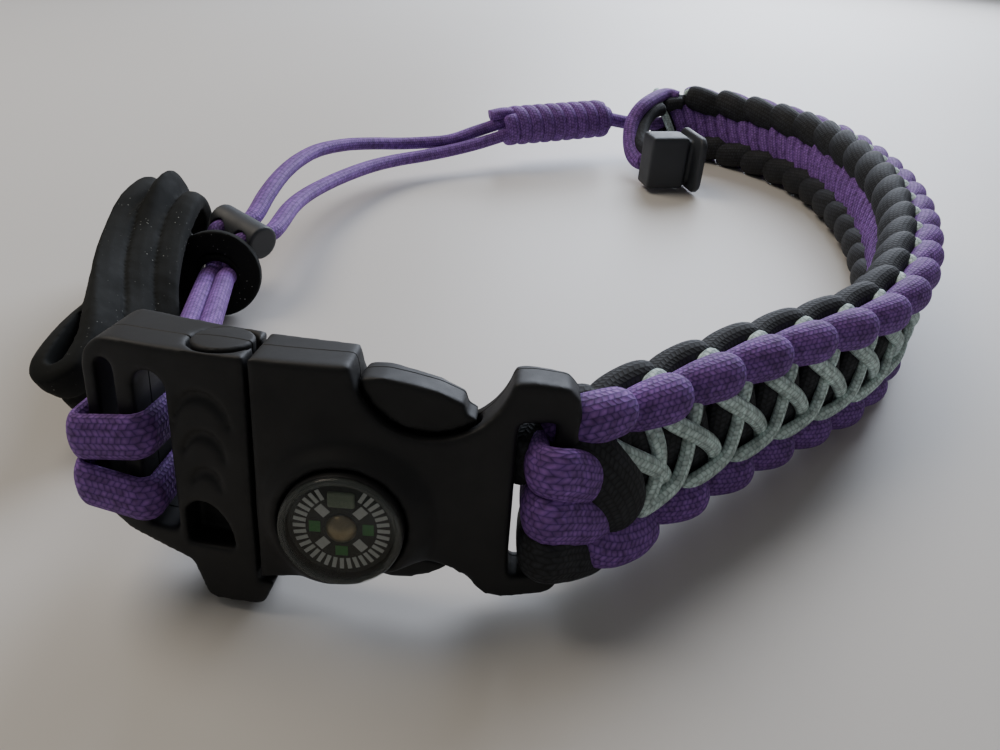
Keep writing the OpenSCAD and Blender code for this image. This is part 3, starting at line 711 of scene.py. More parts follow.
@dataclass
class Strands:
    """Lengths of cord gathered into one mesh, with the cord UV map that the braid follows."""

    # Points round the cord, and braid columns round it
    sides: int = 16
    columns: int = 12
    # Above 1 for a squarer section
    squareness: float = 1.0
    # How far above the floor the lowest points stay, in millimetres
    floor_gap: float = 0.02
    verts: list = field(default_factory=list)
    faces: list = field(default_factory=list)
    uvs: list = field(default_factory=list)
    count: int = 0

    def add(self, line: Points, flat_way: Points, thick: Points, wide: Points) -> None:
        """Adds one strand, closed at both ends.

        Args:
            line: rows of x, y, z in metres along its middle.
            flat_way: for each row, the way that its flat side faces.
            thick: its thickness along that way at each row, in metres.
            wide: its width at each row, in metres.
        """
        line = np.asarray(line, float)
        n, m = len(line), self.sides
        ahead = unit(np.gradient(line, axis=0))
        across = unit(np.cross(np.broadcast_to(flat_way, line.shape), ahead))
        flat = np.cross(ahead, across)
        angles = 2 * np.pi * (np.arange(m) + 0.5) / m
        c, s = np.cos(angles), np.sin(angles)
        power = 1 / self.squareness
        c = np.sign(c) * np.abs(c) ** power
        s = np.sign(s) * np.abs(s) ** power
        thick = np.broadcast_to(thick, (n,))
        wide = np.broadcast_to(wide, (n,))
        ring = (
            line[:, None]
            + flat[:, None] * (c[None, :, None] * thick[:, None, None] / 2)
            + across[:, None] * (s[None, :, None] * wide[:, None, None] / 2)
        )
        marks = along(line) / MM
        base = self.count
        self.verts.append(ring.reshape(-1, 3))
        self.verts.append(line[[0, -1]])
        self.count += n * m + 2
        for i in range(n - 1):
            low, high = base + i * m, base + (i + 1) * m
            for k in range(m):
                right = (k + 1) % m
                self.faces.append((low + k, low + right, high + right, high + k))
                u, w = k / m * self.columns, (k + 1) / m * self.columns
                self.uvs.append([(u, marks[i]), (w, marks[i]), (w, marks[i + 1]), (u, marks[i + 1])])
        first, last = base + n * m, base + n * m + 1
        tail = base + (n - 1) * m
        for k in range(m):
            right = (k + 1) % m
            u, w = k / m * self.columns, (k + 1) / m * self.columns
            self.faces.append((base + right, base + k, first))
            self.uvs.append([(w, marks[0]), (u, marks[0]), ((u + w) / 2, marks[0] - 1)])
            self.faces.append((tail + k, tail + right, last))
            self.uvs.append([(u, marks[-1]), (w, marks[-1]), ((u + w) / 2, marks[-1] + 1)])

    def build(
        self, name: str, finish: Finish, replaced: tuple[str, ...] = (), floor: bool = True
    ) -> bpy.types.Object:
        """Makes the mesh and hands it over.

        Args:
            name: the piece's name.
            finish: what it is made of.
            replaced: the CAD nodes that it stands for.
            floor: whether the strands are pressed flat where they touch what the object lies on.

        Returns:
            The new piece, at the origin.
        """
        verts = np.vstack(self.verts)
        if floor:
            verts[:, 2] = np.maximum(verts[:, 2], self.floor_gap * MM)
        mesh = bpy.data.meshes.new(name)
        mesh.from_pydata(verts.tolist(), [], self.faces)
        layer = mesh.uv_layers.new(name="cord")
        flat_uvs = np.array([p for face in self.uvs for p in face], np.float32)
        layer.data.foreach_set("uv", flat_uvs.ravel())
        mesh.polygons.foreach_set("use_smooth", [True] * len(mesh.polygons))
        mesh.update()
        return hand_over(add_object(name, mesh), finish, replaced=replaced)


def profile(shares: Points, rows: list[tuple[float, float]]) -> Points:
    """Reads a short table smoothly.

    Args:
        shares: where to read it, from 0 to 1.
        rows: rows of share and value.

    Returns:
        The values at those shares.
    """
    table = curved(np.array(rows, float), 6)
    return np.interp(shares, table[:, 0], table[:, 1])


# The woven band


@dataclass
class Weave:
    """The band of two-colour cobra weave: its line, and the strands that it is made of.

    A place on it is (along, out, up) in millimetres: along its line from the buckle, out towards the outer
    face, and up from the middle of its height.
    """

    length: float = 240.0
    height: float = 20.4
    thickness: float = 9.0
    pitch: float = 10.0
    start: tuple[float, float] = (1.7, -78.3)
    heading: float = 42.0
    # Rows of share of the length and turn in degrees
    bends: tuple = ((0.20, -4.0), (0.12, 23.0), (0.22, 17.0), (0.18, 18.0), (0.20, 49.0), (0.08, 54.0))
    # Rows of share of the length, lean in degrees and lift in millimetres
    stance: tuple = (
        (0.00, 11.0, 4.0), (0.12, 7.0, 3.4), (0.25, -1.0, 2.4), (0.40, -6.0, 1.6), (0.55, -10.0, 1.0),
        (0.75, -12.0, 0.5), (1.00, -8.0, 0.0),
    )
    # Where the first edge bump of each edge ends, along the band
    top_phase: float = 2.0
    bottom_phase: float = 6.8
    step: float = 0.25
    # Thickness and width of each kind of strand
    core_cord: tuple[float, float] = (4.4, 6.0)
    outer_bump: tuple[float, float] = (5.2, 5.6)
    inner_bump: tuple[float, float] = (5.4, 7.4)
    outer_bar: tuple[float, float] = (2.9, 5.2)
    inner_bar: tuple[float, float] = (3.2, 3.9)
    lace: tuple[float, float] = (1.5, 2.4)
    lace_tip: tuple[float, float] = (1.5, 2.0)

    def __post_init__(self) -> None:
        """Works out the band's line in short steps."""
        shares = np.cumsum([0.0] + [row[0] for row in self.bends])
        ways = self.heading + np.cumsum([0.0] + [row[1] for row in self.bends])
        self.bend_shares, self.bend_ways = shares, ways
        count = round(self.length / self.step)
        middle = (np.arange(count) + 0.5) / count
        way = np.radians(np.interp(middle, shares, ways))
        moves = self.step * np.stack([np.cos(way), np.sin(way)], axis=1)
        self.line = np.vstack([self.start, self.start + np.cumsum(moves, axis=0)])
        self.marks = np.linspace(0, self.length, count + 1)

    def place(self, local: Points) -> Points:
        """Where places on the band are.

        Args:
            local: rows of along, out and up, in millimetres.

        Returns:
            Rows of x, y, z in metres in the row frame.
        """
        s, out_by, up_by = np.asarray(local, float)[:, :3].T
        share = s / self.length
        way = np.radians(np.interp(share, self.bend_shares, self.bend_ways))
        table = np.array(self.stance)
        lean = np.radians(np.interp(share, table[:, 0], table[:, 1]))
        lift = np.interp(share, table[:, 0], table[:, 2]) + np.abs(np.sin(lean)) * self.thickness * 0.3
        beyond = s - np.clip(s, 0, self.length)
        x = np.interp(s, self.marks, self.line[:, 0]) + beyond * np.cos(way)
        y = np.interp(s, self.marks, self.line[:, 1]) + beyond * np.sin(way)
        out = np.stack([np.sin(way), -np.cos(way), np.zeros_like(way)], axis=1)
        up = np.cos(lean)[:, None] * WORLD_UP - np.sin(lean)[:, None] * out
        outwards = np.cos(lean)[:, None] * out + np.sin(lean)[:, None] * WORLD_UP
        middle = np.stack([x, y, lift + np.cos(lean) * self.height / 2], axis=1)
        return to_frame(middle + outwards * out_by[:, None] + up * up_by[:, None])

    def ways(self, local: Points, way: tuple[float, float, float]) -> Points:
        """The way that a direction on the band points to.

        Args:
            local: rows of along, out and up.
            way: the direction, along, out and up.

        Returns:
            One way of length 1 for each row.
        """
        reach = 0.01
        local = np.asarray(local, float)[:, :3]
        return unit(self.place(local + reach * np.array(way)) - self.place(local))

    def strand(
        self,
        strands: Strands,
        points: Points,
        way: tuple[float, float, float],
        thick: float,
        wide: float,
        sizes: list[tuple[float, float]] | None = None,
        steps: int = 4,
        swell: list[tuple[float, float]] | None = None,
    ) -> None:
        """Adds one strand that follows places on the band.

        Args:
            strands: where the strand goes.
            points: rows of along, out and up.
            way: the direction on the band that its flat side faces.
            thick: its thickness in millimetres.
            wide: its width in millimetres.
            sizes: rows of share of its length and share of its full size.
            steps: how many steps go from one point to the next.
            swell: rows of share of its length and of its full thickness, where that differs from sizes.
        """
        local = curved(points, steps)
        line = self.place(local)
        marks = along(line)
        size = profile(marks / marks[-1], sizes) if sizes else 1.0
        depth = profile(marks / marks[-1], swell) if swell else size
        strands.add(line, self.ways(local, way), thick * MM * depth, wide * MM * size)

    def edge_ends(self, edge: Edge) -> Points:
        """Where the edge bumps end along the band, one for each knot."""
        phase = self.top_phase if edge is Edge.TOP else self.bottom_phase
        return np.arange(phase, self.length - 2, self.pitch)

    def core(self) -> bpy.types.Object:
        """The black cords that the weave is knotted round, which show only as darkness in its gaps.

        Returns:
            The new piece.
        """
        strands = Strands(sides=12)
        for up in (-5.2, 0.0, 5.2):
            points = [[s, 0.0, up] for s in np.linspace(1.0, self.length - 1.0, 40)]
            self.strand(strands, points, (0, 1, 0), *self.core_cord, steps=1)
        return strands.build("weave_core", BLACK_NYLON)

    def outer_bumps(self) -> bpy.types.Object:
        """The purple bumps that wrap over both edges of the outer face, each over the next one's start.

        Returns:
            The new piece.
        """
        strands = Strands(sides=28, columns=26, squareness=1.04)
        sizes = [(0, 0.66), (0.2, 0.84), (0.5, 1.02), (0.78, 1.08), (0.9, 0.98), (0.965, 0.78), (1, 0.44)]
        swell = [(0, 0.5), (0.2, 0.66), (0.5, 0.98), (0.76, 1.14), (0.9, 1.0), (0.965, 0.76), (1, 0.4)]
        for edge in Edge:
            for end in self.edge_ends(edge)[1:]:
                points = [
                    [end - 11.4, 0.3, 7.0], [end - 8.8, 1.2, 7.3], [end - 5.6, 2.1, 7.7],
                    [end - 2.6, 2.6, 7.85], [end - 0.8, 2.5, 7.8], [end + 0.5, 2.1, 7.6],
                ]
                points = np.array(points) * [1, 1, edge.value]
                flat = (0, 1, 0.1 * edge.value)
                self.strand(strands, points, flat, *self.outer_bump, sizes, steps=5, swell=swell)
        return strands.build("outer_edge_bumps", PURPLE_NYLON, ("woven_band",))

    def inner_bumps(self) -> bpy.types.Object:
        """The black bumps along both edges of the inner face, each an arch that dives under the next.

        Returns:
            The new piece.
        """
        strands = Strands(sides=24, columns=24, squareness=1.05)
        sizes = [(0, 0.8), (0.15, 0.94), (0.45, 1.0), (0.8, 1.0), (0.92, 0.92), (0.97, 0.74), (1, 0.46)]
        for edge in Edge:
            for end in self.edge_ends(edge):
                points = [
                    [end - 12.4, -1.2, 5.6], [end - 9.4, -2.3, 6.0], [end - 6.0, -2.9, 6.8],
                    [end - 2.6, -2.5, 7.5], [end + 0.4, -1.6, 7.7],
                ]
                points = np.array(points) * [1, 1, edge.value]
                flat = (0, -1, 0.3 * edge.value)
                self.strand(strands, points, flat, *self.inner_bump, sizes, steps=6)
        return strands.build("inner_edge_bumps", BLACK_NYLON)

    def outer_bars(self) -> bpy.types.Object:
        """The black strands that cross the outer face between its edge bumps, two for each knot.

        Returns:
            The new piece.
        """
        strands = Strands(sides=16, columns=16)
        lean = 1
        ups = np.linspace(-6.4, 6.4, 7)
        for s in np.arange(1.0, self.length - 2, self.pitch / 2):
            points = [[s + lean * up * 0.22, 1.3 + 0.9 * math.cos(up / 4.6), up] for up in ups]
            self.strand(strands, points, (0, 1, 0), *self.outer_bar, steps=3)
            lean = -lean
        return strands.build("outer_centre_strands", BLACK_NYLON)

    def inner_bars(self) -> bpy.types.Object:
        """The purple strands that cross the inner face at a slant between its edge bumps.

        Returns:
            The new piece.
        """
        strands = Strands(sides=16, columns=14)
        ups = np.linspace(-5.0, 5.0, 7)
        for s in np.arange(1.5, self.length - 3, self.pitch / 2.5):
            points = [[s + up * 0.6, -1.7 - 1.3 * math.cos(up / 3.6), up] for up in ups]
            self.strand(strands, points, (0, -1, 0), *self.inner_bar, steps=3)
        return strands.build("inner_centre_strands", PURPLE_NYLON)

    def lacing(self) -> bpy.types.Object:
        """The mint lace: for each knot one strand down and one up, which cross under the upper bumps.

        Returns:
            The new piece.
        """
        strands = Strands(sides=12, columns=8)
        down = [
            [-1.8, 2.8, 6.9], [0.0, 3.7, 5.0], [3.3, 4.4, 2.6], [6.4, 4.1, 0.3], [8.5, 3.8, -1.9],
            [9.5, 3.2, -4.1], [9.9, 2.4, -5.6],
        ]
        up = [
            [2.2, 2.6, -6.9], [4.2, 3.8, -5.0], [7.0, 4.3, -4.2], [10.0, 4.6, -2.8], [12.2, 4.1, -0.3],
            [13.5, 3.5, 2.4], [14.5, 3.3, 4.8], [15.2, 2.6, 6.8],
        ]
        for s in np.arange(0.0, self.length - 16, self.pitch):
            for points in (down, up):
                self.strand(strands, np.array(points) + [s, 0, 0], (0, 1, 0), *self.lace, steps=5)
        first = [
            [2.4, 3.0, -6.6], [4.4, 3.9, -4.6], [6.3, 4.1, -2.0],
            [7.3, 3.9, 0.8], [7.2, 3.6, 3.4], [6.6, 2.8, 5.8],
        ]
        self.strand(strands, first, (0, 1, 0), *self.lace, steps=5)
        tips = [(0, 0.7), (0.2, 0.95), (0.8, 0.95), (1, 0.7)]
        for edge in Edge:
            for end in self.edge_ends(edge):
                points = [
                    [end - 4.6, 1.4, 8.4], [end - 3.0, 0.6, 9.5], [end - 1.4, 0.0, 9.8],
                    [end + 0.2, -0.5, 9.2], [end + 0.9, -0.9, 8.0],
                ]
                points = np.array(points) * [1, 1, edge.value]
                self.strand(strands, points, (0, 0, edge.value), *self.lace_tip, tips, steps=4)
        return strands.build("mint_lacing", MINT_NYLON)

    def build(self) -> None:
        """Builds every strand of the weave."""
        bumps = (self.outer_bumps, self.inner_bumps)
        build_all("weave", (self.core, *bumps, self.outer_bars, self.inner_bars, self.lacing))


# The buckle's shape, which the cords and the compass are placed by


@dataclass
class Buckle:
    """The curved, leaning body of the buckle: places on it are (along, depth, height) in millimetres."""

    foot: tuple = (-27.7, -89.9, 1.3)
    turn: float = -0.9
    lean: float = 9.0
    length: float = 53.5
    face_radius: float = 95.0
    thickness: float = 7.3
    back_radius: float = 92.0
    back_shift: float = 8.8
    # Bars and slots, from the ends inwards
    outer_bar: float = 1.6
    narrow_slot: float = 2.2
    middle_bar: float = 2.2
    end_bar: float = 2.8
    # How deep behind the face the mould's parting line runs, and the width and height of its step
    parting_depth: float = 4.1
    parting_width: float = 0.28
    parting_height: float = 0.16

    @property
    def left(self) -> float:
        """Where the buckle's left end is."""
        return -self.length / 2

    @property
    def right(self) -> float:
        """Where the buckle's right end is."""
        return self.length / 2

    @property
    def wide_slot_left(self) -> float:
        """Where the slot that the adjuster cord passes starts."""
        return self.left + self.outer_bar + self.narrow_slot + self.middle_bar

    @property
    def end_slot_right(self) -> float:
        """Where the slot beside the end bar ends."""
        return self.right - self.end_bar

    def face_depth(self, along_it: float) -> float:
        """Depth of the curved outer face."""
        return self.face_radius - math.sqrt(self.face_radius**2 - along_it**2)

    def back_depth(self, along_it: float) -> float:
        """Depth of the curved back."""
        centre = self.thickness + math.sqrt(self.back_radius**2 - self.back_shift**2)
        return centre - math.sqrt(self.back_radius**2 - (along_it - self.back_shift) ** 2)

    def turned(self, ways: Points) -> Points:
        """Turns ways from the buckle's axes to the part's.

        Args:
            ways: rows of along, depth and height.

        Returns:
            Rows of x, y and z.
        """
        x, y, z = np.asarray(ways, float).reshape(-1, 3).T
        lean, turn = math.radians(self.lean), math.radians(self.turn)
        deep = y * math.cos(lean) + z * math.sin(lean)
        high = z * math.cos(lean) - y * math.sin(lean)
        across = x * math.cos(turn) - deep * math.sin(turn)
        away = x * math.sin(turn) + deep * math.cos(turn)
        return np.stack([across, away, high], axis=1)

    def place(self, local: Points) -> Points:
        """Where places on the buckle are.

        Args:
            local: rows of along, depth and height in millimetres.

        Returns:
            Rows of x, y, z in metres in the row frame.
        """
        return to_frame(self.turned(np.asarray(local, float)) + np.array(self.foot))

    def up(self) -> Points:
        """The way up the buckle's height."""
        return self.turned([[0, 0, 1]])[0]


def edgewise(line: Points, wide_way: Points) -> Points:
    """The flat way of a cord whose width stands along one way.

    Args:
        line: rows of x, y, z along the cord.
        wide_way: the way that its width stands along.

    Returns:
        One way for each row.
    """
    return unit(np.cross(wide_way, np.gradient(np.asarray(line, float)[:, :3], axis=0)))


@dataclass
class BarCords:
    """The weave's cords round the buckle's end bar, and the wraps where the weave starts."""

    buckle: Buckle
    weave: Weave
    thick: float = 3.0
    wide: float = 6.0
    play: float = 0.15
    # About how high the lowest cord is on the bar, and how far apart the three cords are
    lower_height: float = 8.6
    spacing: float = 5.7
    # Thickness and width of the first bumps of the weave and of the broad wrap
    first_bump: tuple[float, float] = (5.0, 6.2)
    top_bump: tuple[float, float] = (5.4, 5.6)
    broad_wrap: tuple[float, float] = (4.4, 8.4)

    def loop(self, strands: Strands, height: float, front_ends: list, back_end: tuple) -> None:
        """Adds one cord that comes out of the weave, goes round the end bar and back into the weave.

        Args:
            strands: where it goes.
            height: its height on the bar.
            front_ends: places on the band where it comes out in front.
            back_end: where it enters the weave behind, on the band.
        """
        half = self.thick / 2
        b = self.buckle
        slot_x = b.end_slot_right - self.play - half
        front = b.face_depth(b.end_slot_right) - self.play - half
        back = b.back_depth(b.right) + self.play + half
        into_front = self.weave.place(front_ends)
        into_back = self.weave.place([back_end, np.add(back_end, (4, 1, 0))])
        round_bar = b.place(
            [
                [slot_x + 2.6, front - 0.5, height], [slot_x + 0.7, front - 0.1, height],
                [slot_x, front + 1.5, height], [slot_x, back - 1.2, height],
                [slot_x + 1.2, back + 0.1, height], [b.right + 0.2, back + 0.6, height],
            ]
        )
        line = evenly(curved(np.vstack([into_front, round_bar, into_back]), 8), 0.5 * MM)
        share = along(line) / along(line)[-1]
        fat = profile(share, [(0, 0.72), (0.1, 1.25), (0.25, 1.3), (0.36, 1.0), (1, 1.0)])
        strands.add(line, edgewise(line, b.up()), self.thick * MM * fat, self.wide * MM)

    def purple_loops(self) -> bpy.types.Object:
        """The two purple cords round the bar, and the first purple bumps at the weave's start.

        Returns:
            The new piece.
        """
        strands = Strands(sides=24, columns=24, squareness=1.05)
        middle = self.lower_height + self.spacing
        self.loop(strands, middle, [(1.2, 1.2, -4.2), (-1.6, 2.8, -3.6)], (-1.0, -2.6, -1.4))
        self.loop(strands, middle + self.spacing, [(0.4, 1.0, 1.2), (-2.4, 2.7, 1.9)], (-1.0, -2.6, 4.2))
        sizes = [(0, 0.7), (0.2, 0.95), (0.5, 1.06), (0.85, 1.0), (0.95, 0.86), (1, 0.5)]
        start = [
            [-5.8, 0.6, -3.6], [-4.4, 1.9, -5.2], [-1.4, 2.9, -7.0],
            [2.6, 3.1, -8.0], [5.4, 2.7, -8.2], [7.2, 2.2, -8.1],
        ]
        self.weave.strand(strands, start, (0, 1, 0.2), *self.first_bump, sizes, steps=6)
        top = [
            [-5.6, -1.6, 8.0], [-4.0, 0.4, 8.8], [-2.4, 1.9, 9.1],
            [0.2, 2.6, 9.1], [1.4, 2.5, 9.0], [2.4, 2.1, 8.7],
        ]
        self.weave.strand(strands, top, (0, 1, 0.1), *self.top_bump, sizes, steps=6)
        loops = ("purple_bar_loop_lower", "purple_bar_loop_upper")
        return strands.build("purple_bar_cords", PURPLE_NYLON, loops)

    def black_loop(self) -> bpy.types.Object:
        """The black cord round the bar, and the broad black wrap over the weave's start.

        Returns:
            The new piece.
        """
        strands = Strands(sides=24, columns=24, squareness=1.05)
        ends = [(1.6, 0.8, -9.2), (-2.0, 1.6, -8.8)]
        self.loop(strands, self.lower_height + 0.6, ends, (-1.0, -2.6, -6.6))
        wrap = [
            [-6.2, 0.6, 7.8], [-4.4, 2.2, 6.2], [-2.4, 3.2, 3.4], [-0.4, 3.6, 0.0], [0.9, 3.4, -3.2],
            [1.5, 2.4, -5.8],
        ]
        sizes = [(0, 0.6), (0.2, 0.86), (0.5, 1.0), (0.8, 0.98), (0.94, 0.8), (1, 0.5)]
        self.weave.strand(strands, wrap, (0, 1, 0), *self.broad_wrap, sizes, steps=6)
        return strands.build("black_bar_cords", BLACK_NYLON, ("black_bar_loop",))

    def build(self) -> None:
        """Builds the cords at the end bar."""
        build_all("end bar", (self.purple_loops, self.black_loop))


@dataclass
class Hitch:
    """The doubled cord that goes through the toggle and the eyelet and round the whistle half's bars."""

    buckle: Buckle
    toggle_middle: tuple = (-61.6, -9.6, 12.9)
    toggle_way: tuple = (11.0, -7.6, -1.6)
    hole_gap: float = 6.4
    tab_middle: tuple = (-63.9, -19.0, 8.2)
    # The cord's diameter where it is free, and its thickness and width where it is pulled tight on the bars
    diameter: float = 3.4
    tight: float = 1.9
    wide: float = 5.4
    play: float = 0.15
    # The eyelet's lip: its radius, how far it is shifted up the tab, its thickness and its width
    lip_radius: float = 3.7
    lip_shift: float = -0.3
    lip: tuple[float, float] = (2.3, 1.7)

    def leg(self, strands: Strands, side: int) -> None:
        """Adds one of the two cords.

        Args:
            strands: where it goes.
            side: 1 for the right and upper cord, -1 for the left and lower one.
        """
        b, half = self.buckle, self.tight / 2
        way = unit(self.toggle_way)
        through = unit([-way[1], way[0], 0])
        hole = np.array(self.toggle_middle) + side * way * self.hole_gap / 2
        tab = np.array(self.tab_middle) + [side * (self.diameter / 2 - 0.1), 0, 0]
        free = [
            hole + through * 1.5,
            hole - through * 3.6,
            tab + [0, 2.8, -0.9],
            tab + [0.9, -3, 0.4],
            [-56.6 + side * (self.diameter / 2 - 0.1), -47, 12.4],
        ]
        slot_x = b.wide_slot_left + self.play + half
        front = b.face_depth(b.left) - 0.8 - half
        outside = b.left - self.play - half
        behind = b.back_depth(b.left) + self.play + half
        first = side > 0
        tied = [
            [slot_x - 0.6, behind + 3.2, 18.8 if first else 13.6],
            [slot_x, behind - 0.6, 19.6 if first else 12.8],
            [slot_x, b.face_depth(b.wide_slot_left) - half - 0.1, 20.2 if first else 12.2],
            [outside, front, 19.2 if first else 13.6], [outside, behind, 19.4 if first else 13.4],
            [b.left + 3, behind + 0.2, 19.4 if first else 13.4],
        ]
        rows = [[*p, self.diameter, self.diameter] for p in to_frame(free)]
        rows += [[*p, self.tight, self.wide] for p in b.place(tied)]
        line = evenly(rounded(rows, (half + 0.5) * MM, 8), 0.5 * MM)
        strands.add(line[:, :3], edgewise(line, b.up()), line[:, 3] * MM, line[:, 4] * MM)

    def eyelet_lip(self) -> None:
        """The soft lip of the eyelet, which the two cords press out of round."""
        facing = unit([0.14, -0.96, 0.22])
        right = unit(np.cross(facing, WORLD_UP))
        up = np.cross(right, facing)
        turns = np.linspace(0, 2 * np.pi, 49)
        round_way = np.cos(turns)[:, None] * right + np.sin(turns)[:, None] * up
        radius = self.lip_radius + 0.25 * np.cos(2 * turns)[:, None]
        strands = Strands(sides=14, columns=8)
        line = to_frame(np.array(self.tab_middle) + self.lip_shift * up + round_way * radius)
        strands.add(line, facing, self.lip[0] * MM, self.lip[1] * MM)
        strands.build("eyelet_lip", BLACK_RUBBER, floor=False)

    def build(self) -> None:
        """Builds both cords as one piece, and the eyelet's lip."""
        self.eyelet_lip()
        strands = Strands(sides=24, columns=20)
        self.leg(strands, 1)
        self.leg(strands, -1)
        piece = strands.build("hitch_braid", PURPLE_NYLON, ("hitch_cord",), floor=False)
        log.info("hitch: %s", piece.name)


@dataclass
class BandEnd:
    """The cords at the band's far end: what ties the knot, the loop over the end and the end block."""

    weave: Weave
    knot_far: tuple = (17.13, 100.83, 12.19)
    diameter: float = 4.0
    loop_points: tuple = (
        (28.6, 100.6, 16.8), (25.2, 96, 12.6), (24.8, 90.5, 7.6), (26.2, 84.6, 5), (29, 80.4, 5),
        (31, 77.6, 6),
    )
    inner_points: tuple = (
        (34.6, 104.5, 15.2), (31.4, 101.6, 14.6), (28.6, 97, 12), (27.8, 91, 9), (29, 84.6, 8.2),
        (31, 79, 8.4),
    )
    # Thickness and width of the black strands that close the end, of the black cord and of the lace
    closing: tuple[float, float] = (4.4, 4.4)
    inner_cord: tuple[float, float] = (4.2, 5.2)
    lace: tuple[float, float] = (1.7, 2.3)

    def purple(self) -> bpy.types.Object:
        """The cord from the knot into the band, and the loop from the band's top to the block.

        Returns:
            The new piece.
        """
        w = self.weave
        strands = Strands(sides=16, columns=12)
        stop = w.place([[w.length - 1, 0, -0.8]])[0]
        start = to_frame(np.array(self.knot_far))
        anchor = curved(np.array([start, (start + stop) / 2 - [0, 0, 0.0008], stop]), 8)
        strands.add(anchor, WORLD_UP, self.diameter * MM, self.diameter * MM)
        top = w.place([[w.length - 5, -0.6, 7.2], [w.length - 0.6, 0.0, 8.0]])
        line = evenly(curved(np.vstack([top, to_frame(self.loop_points)]), 8), 0.6 * MM)
        strands.add(line, edgewise(line, [0.6, -0.8, 0.1]), self.diameter * MM, 1.2 * self.diameter * MM)
        return strands.build("band_end_purple_cords", PURPLE_NYLON, ("knot_anchor", "end_loop"))

    def black(self) -> bpy.types.Object:
        """The black strands that close the band's end.

        Returns:
            The new piece.
        """
        w = self.weave
        strands = Strands(sides=16, columns=12)
        sizes = [(0, 1), (0.7, 1), (0.92, 0.8), (1, 0.4)]
        for out, up in ((-2.2, 5.0), (1.6, 5.6), (-2.0, -5.2), (1.8, -4.8)):
            tip = [w.length + 1.2, out * 0.6, up * 0.6]
            end = [[w.length - 6, out, up * 1.1], [w.length - 1.5, out, up], tip]
            w.strand(strands, end, (0, 0, 1), *self.closing, sizes, steps=6)
        line = evenly(curved(to_frame(self.inner_points), 8), 0.6 * MM)
        thick, wide = np.array(self.inner_cord) * MM
        strands.add(line, edgewise(line, [0.6, -0.8, 0.1]), thick, wide)
        return strands.build("band_end_black_cords", BLACK_NYLON)

    def mint(self) -> bpy.types.Object:
        """The end of the lace, which crosses the band's end.

        Returns:
            The new piece.
        """
        w = self.weave
        strands = Strands(sides=12, columns=8)
        end = [
            [w.length + 0.6, 2.4, 8.8], [w.length + 2.0, 0.4, 8.4], [w.length + 1.6, -2.6, 5.0],
            [w.length - 0.6, -4.2, 0.5], [w.length - 3.0, -4.0, -3.0],
        ]
        w.strand(strands, end, (0, -1, 0), *self.lace, steps=6)
        return strands.build("band_end_lace", MINT_NYLON)

    def build(self) -> None:
        """Builds the cords at the band's far end."""
        build_all("band end", (self.purple, self.black, self.mint))


# The adjuster


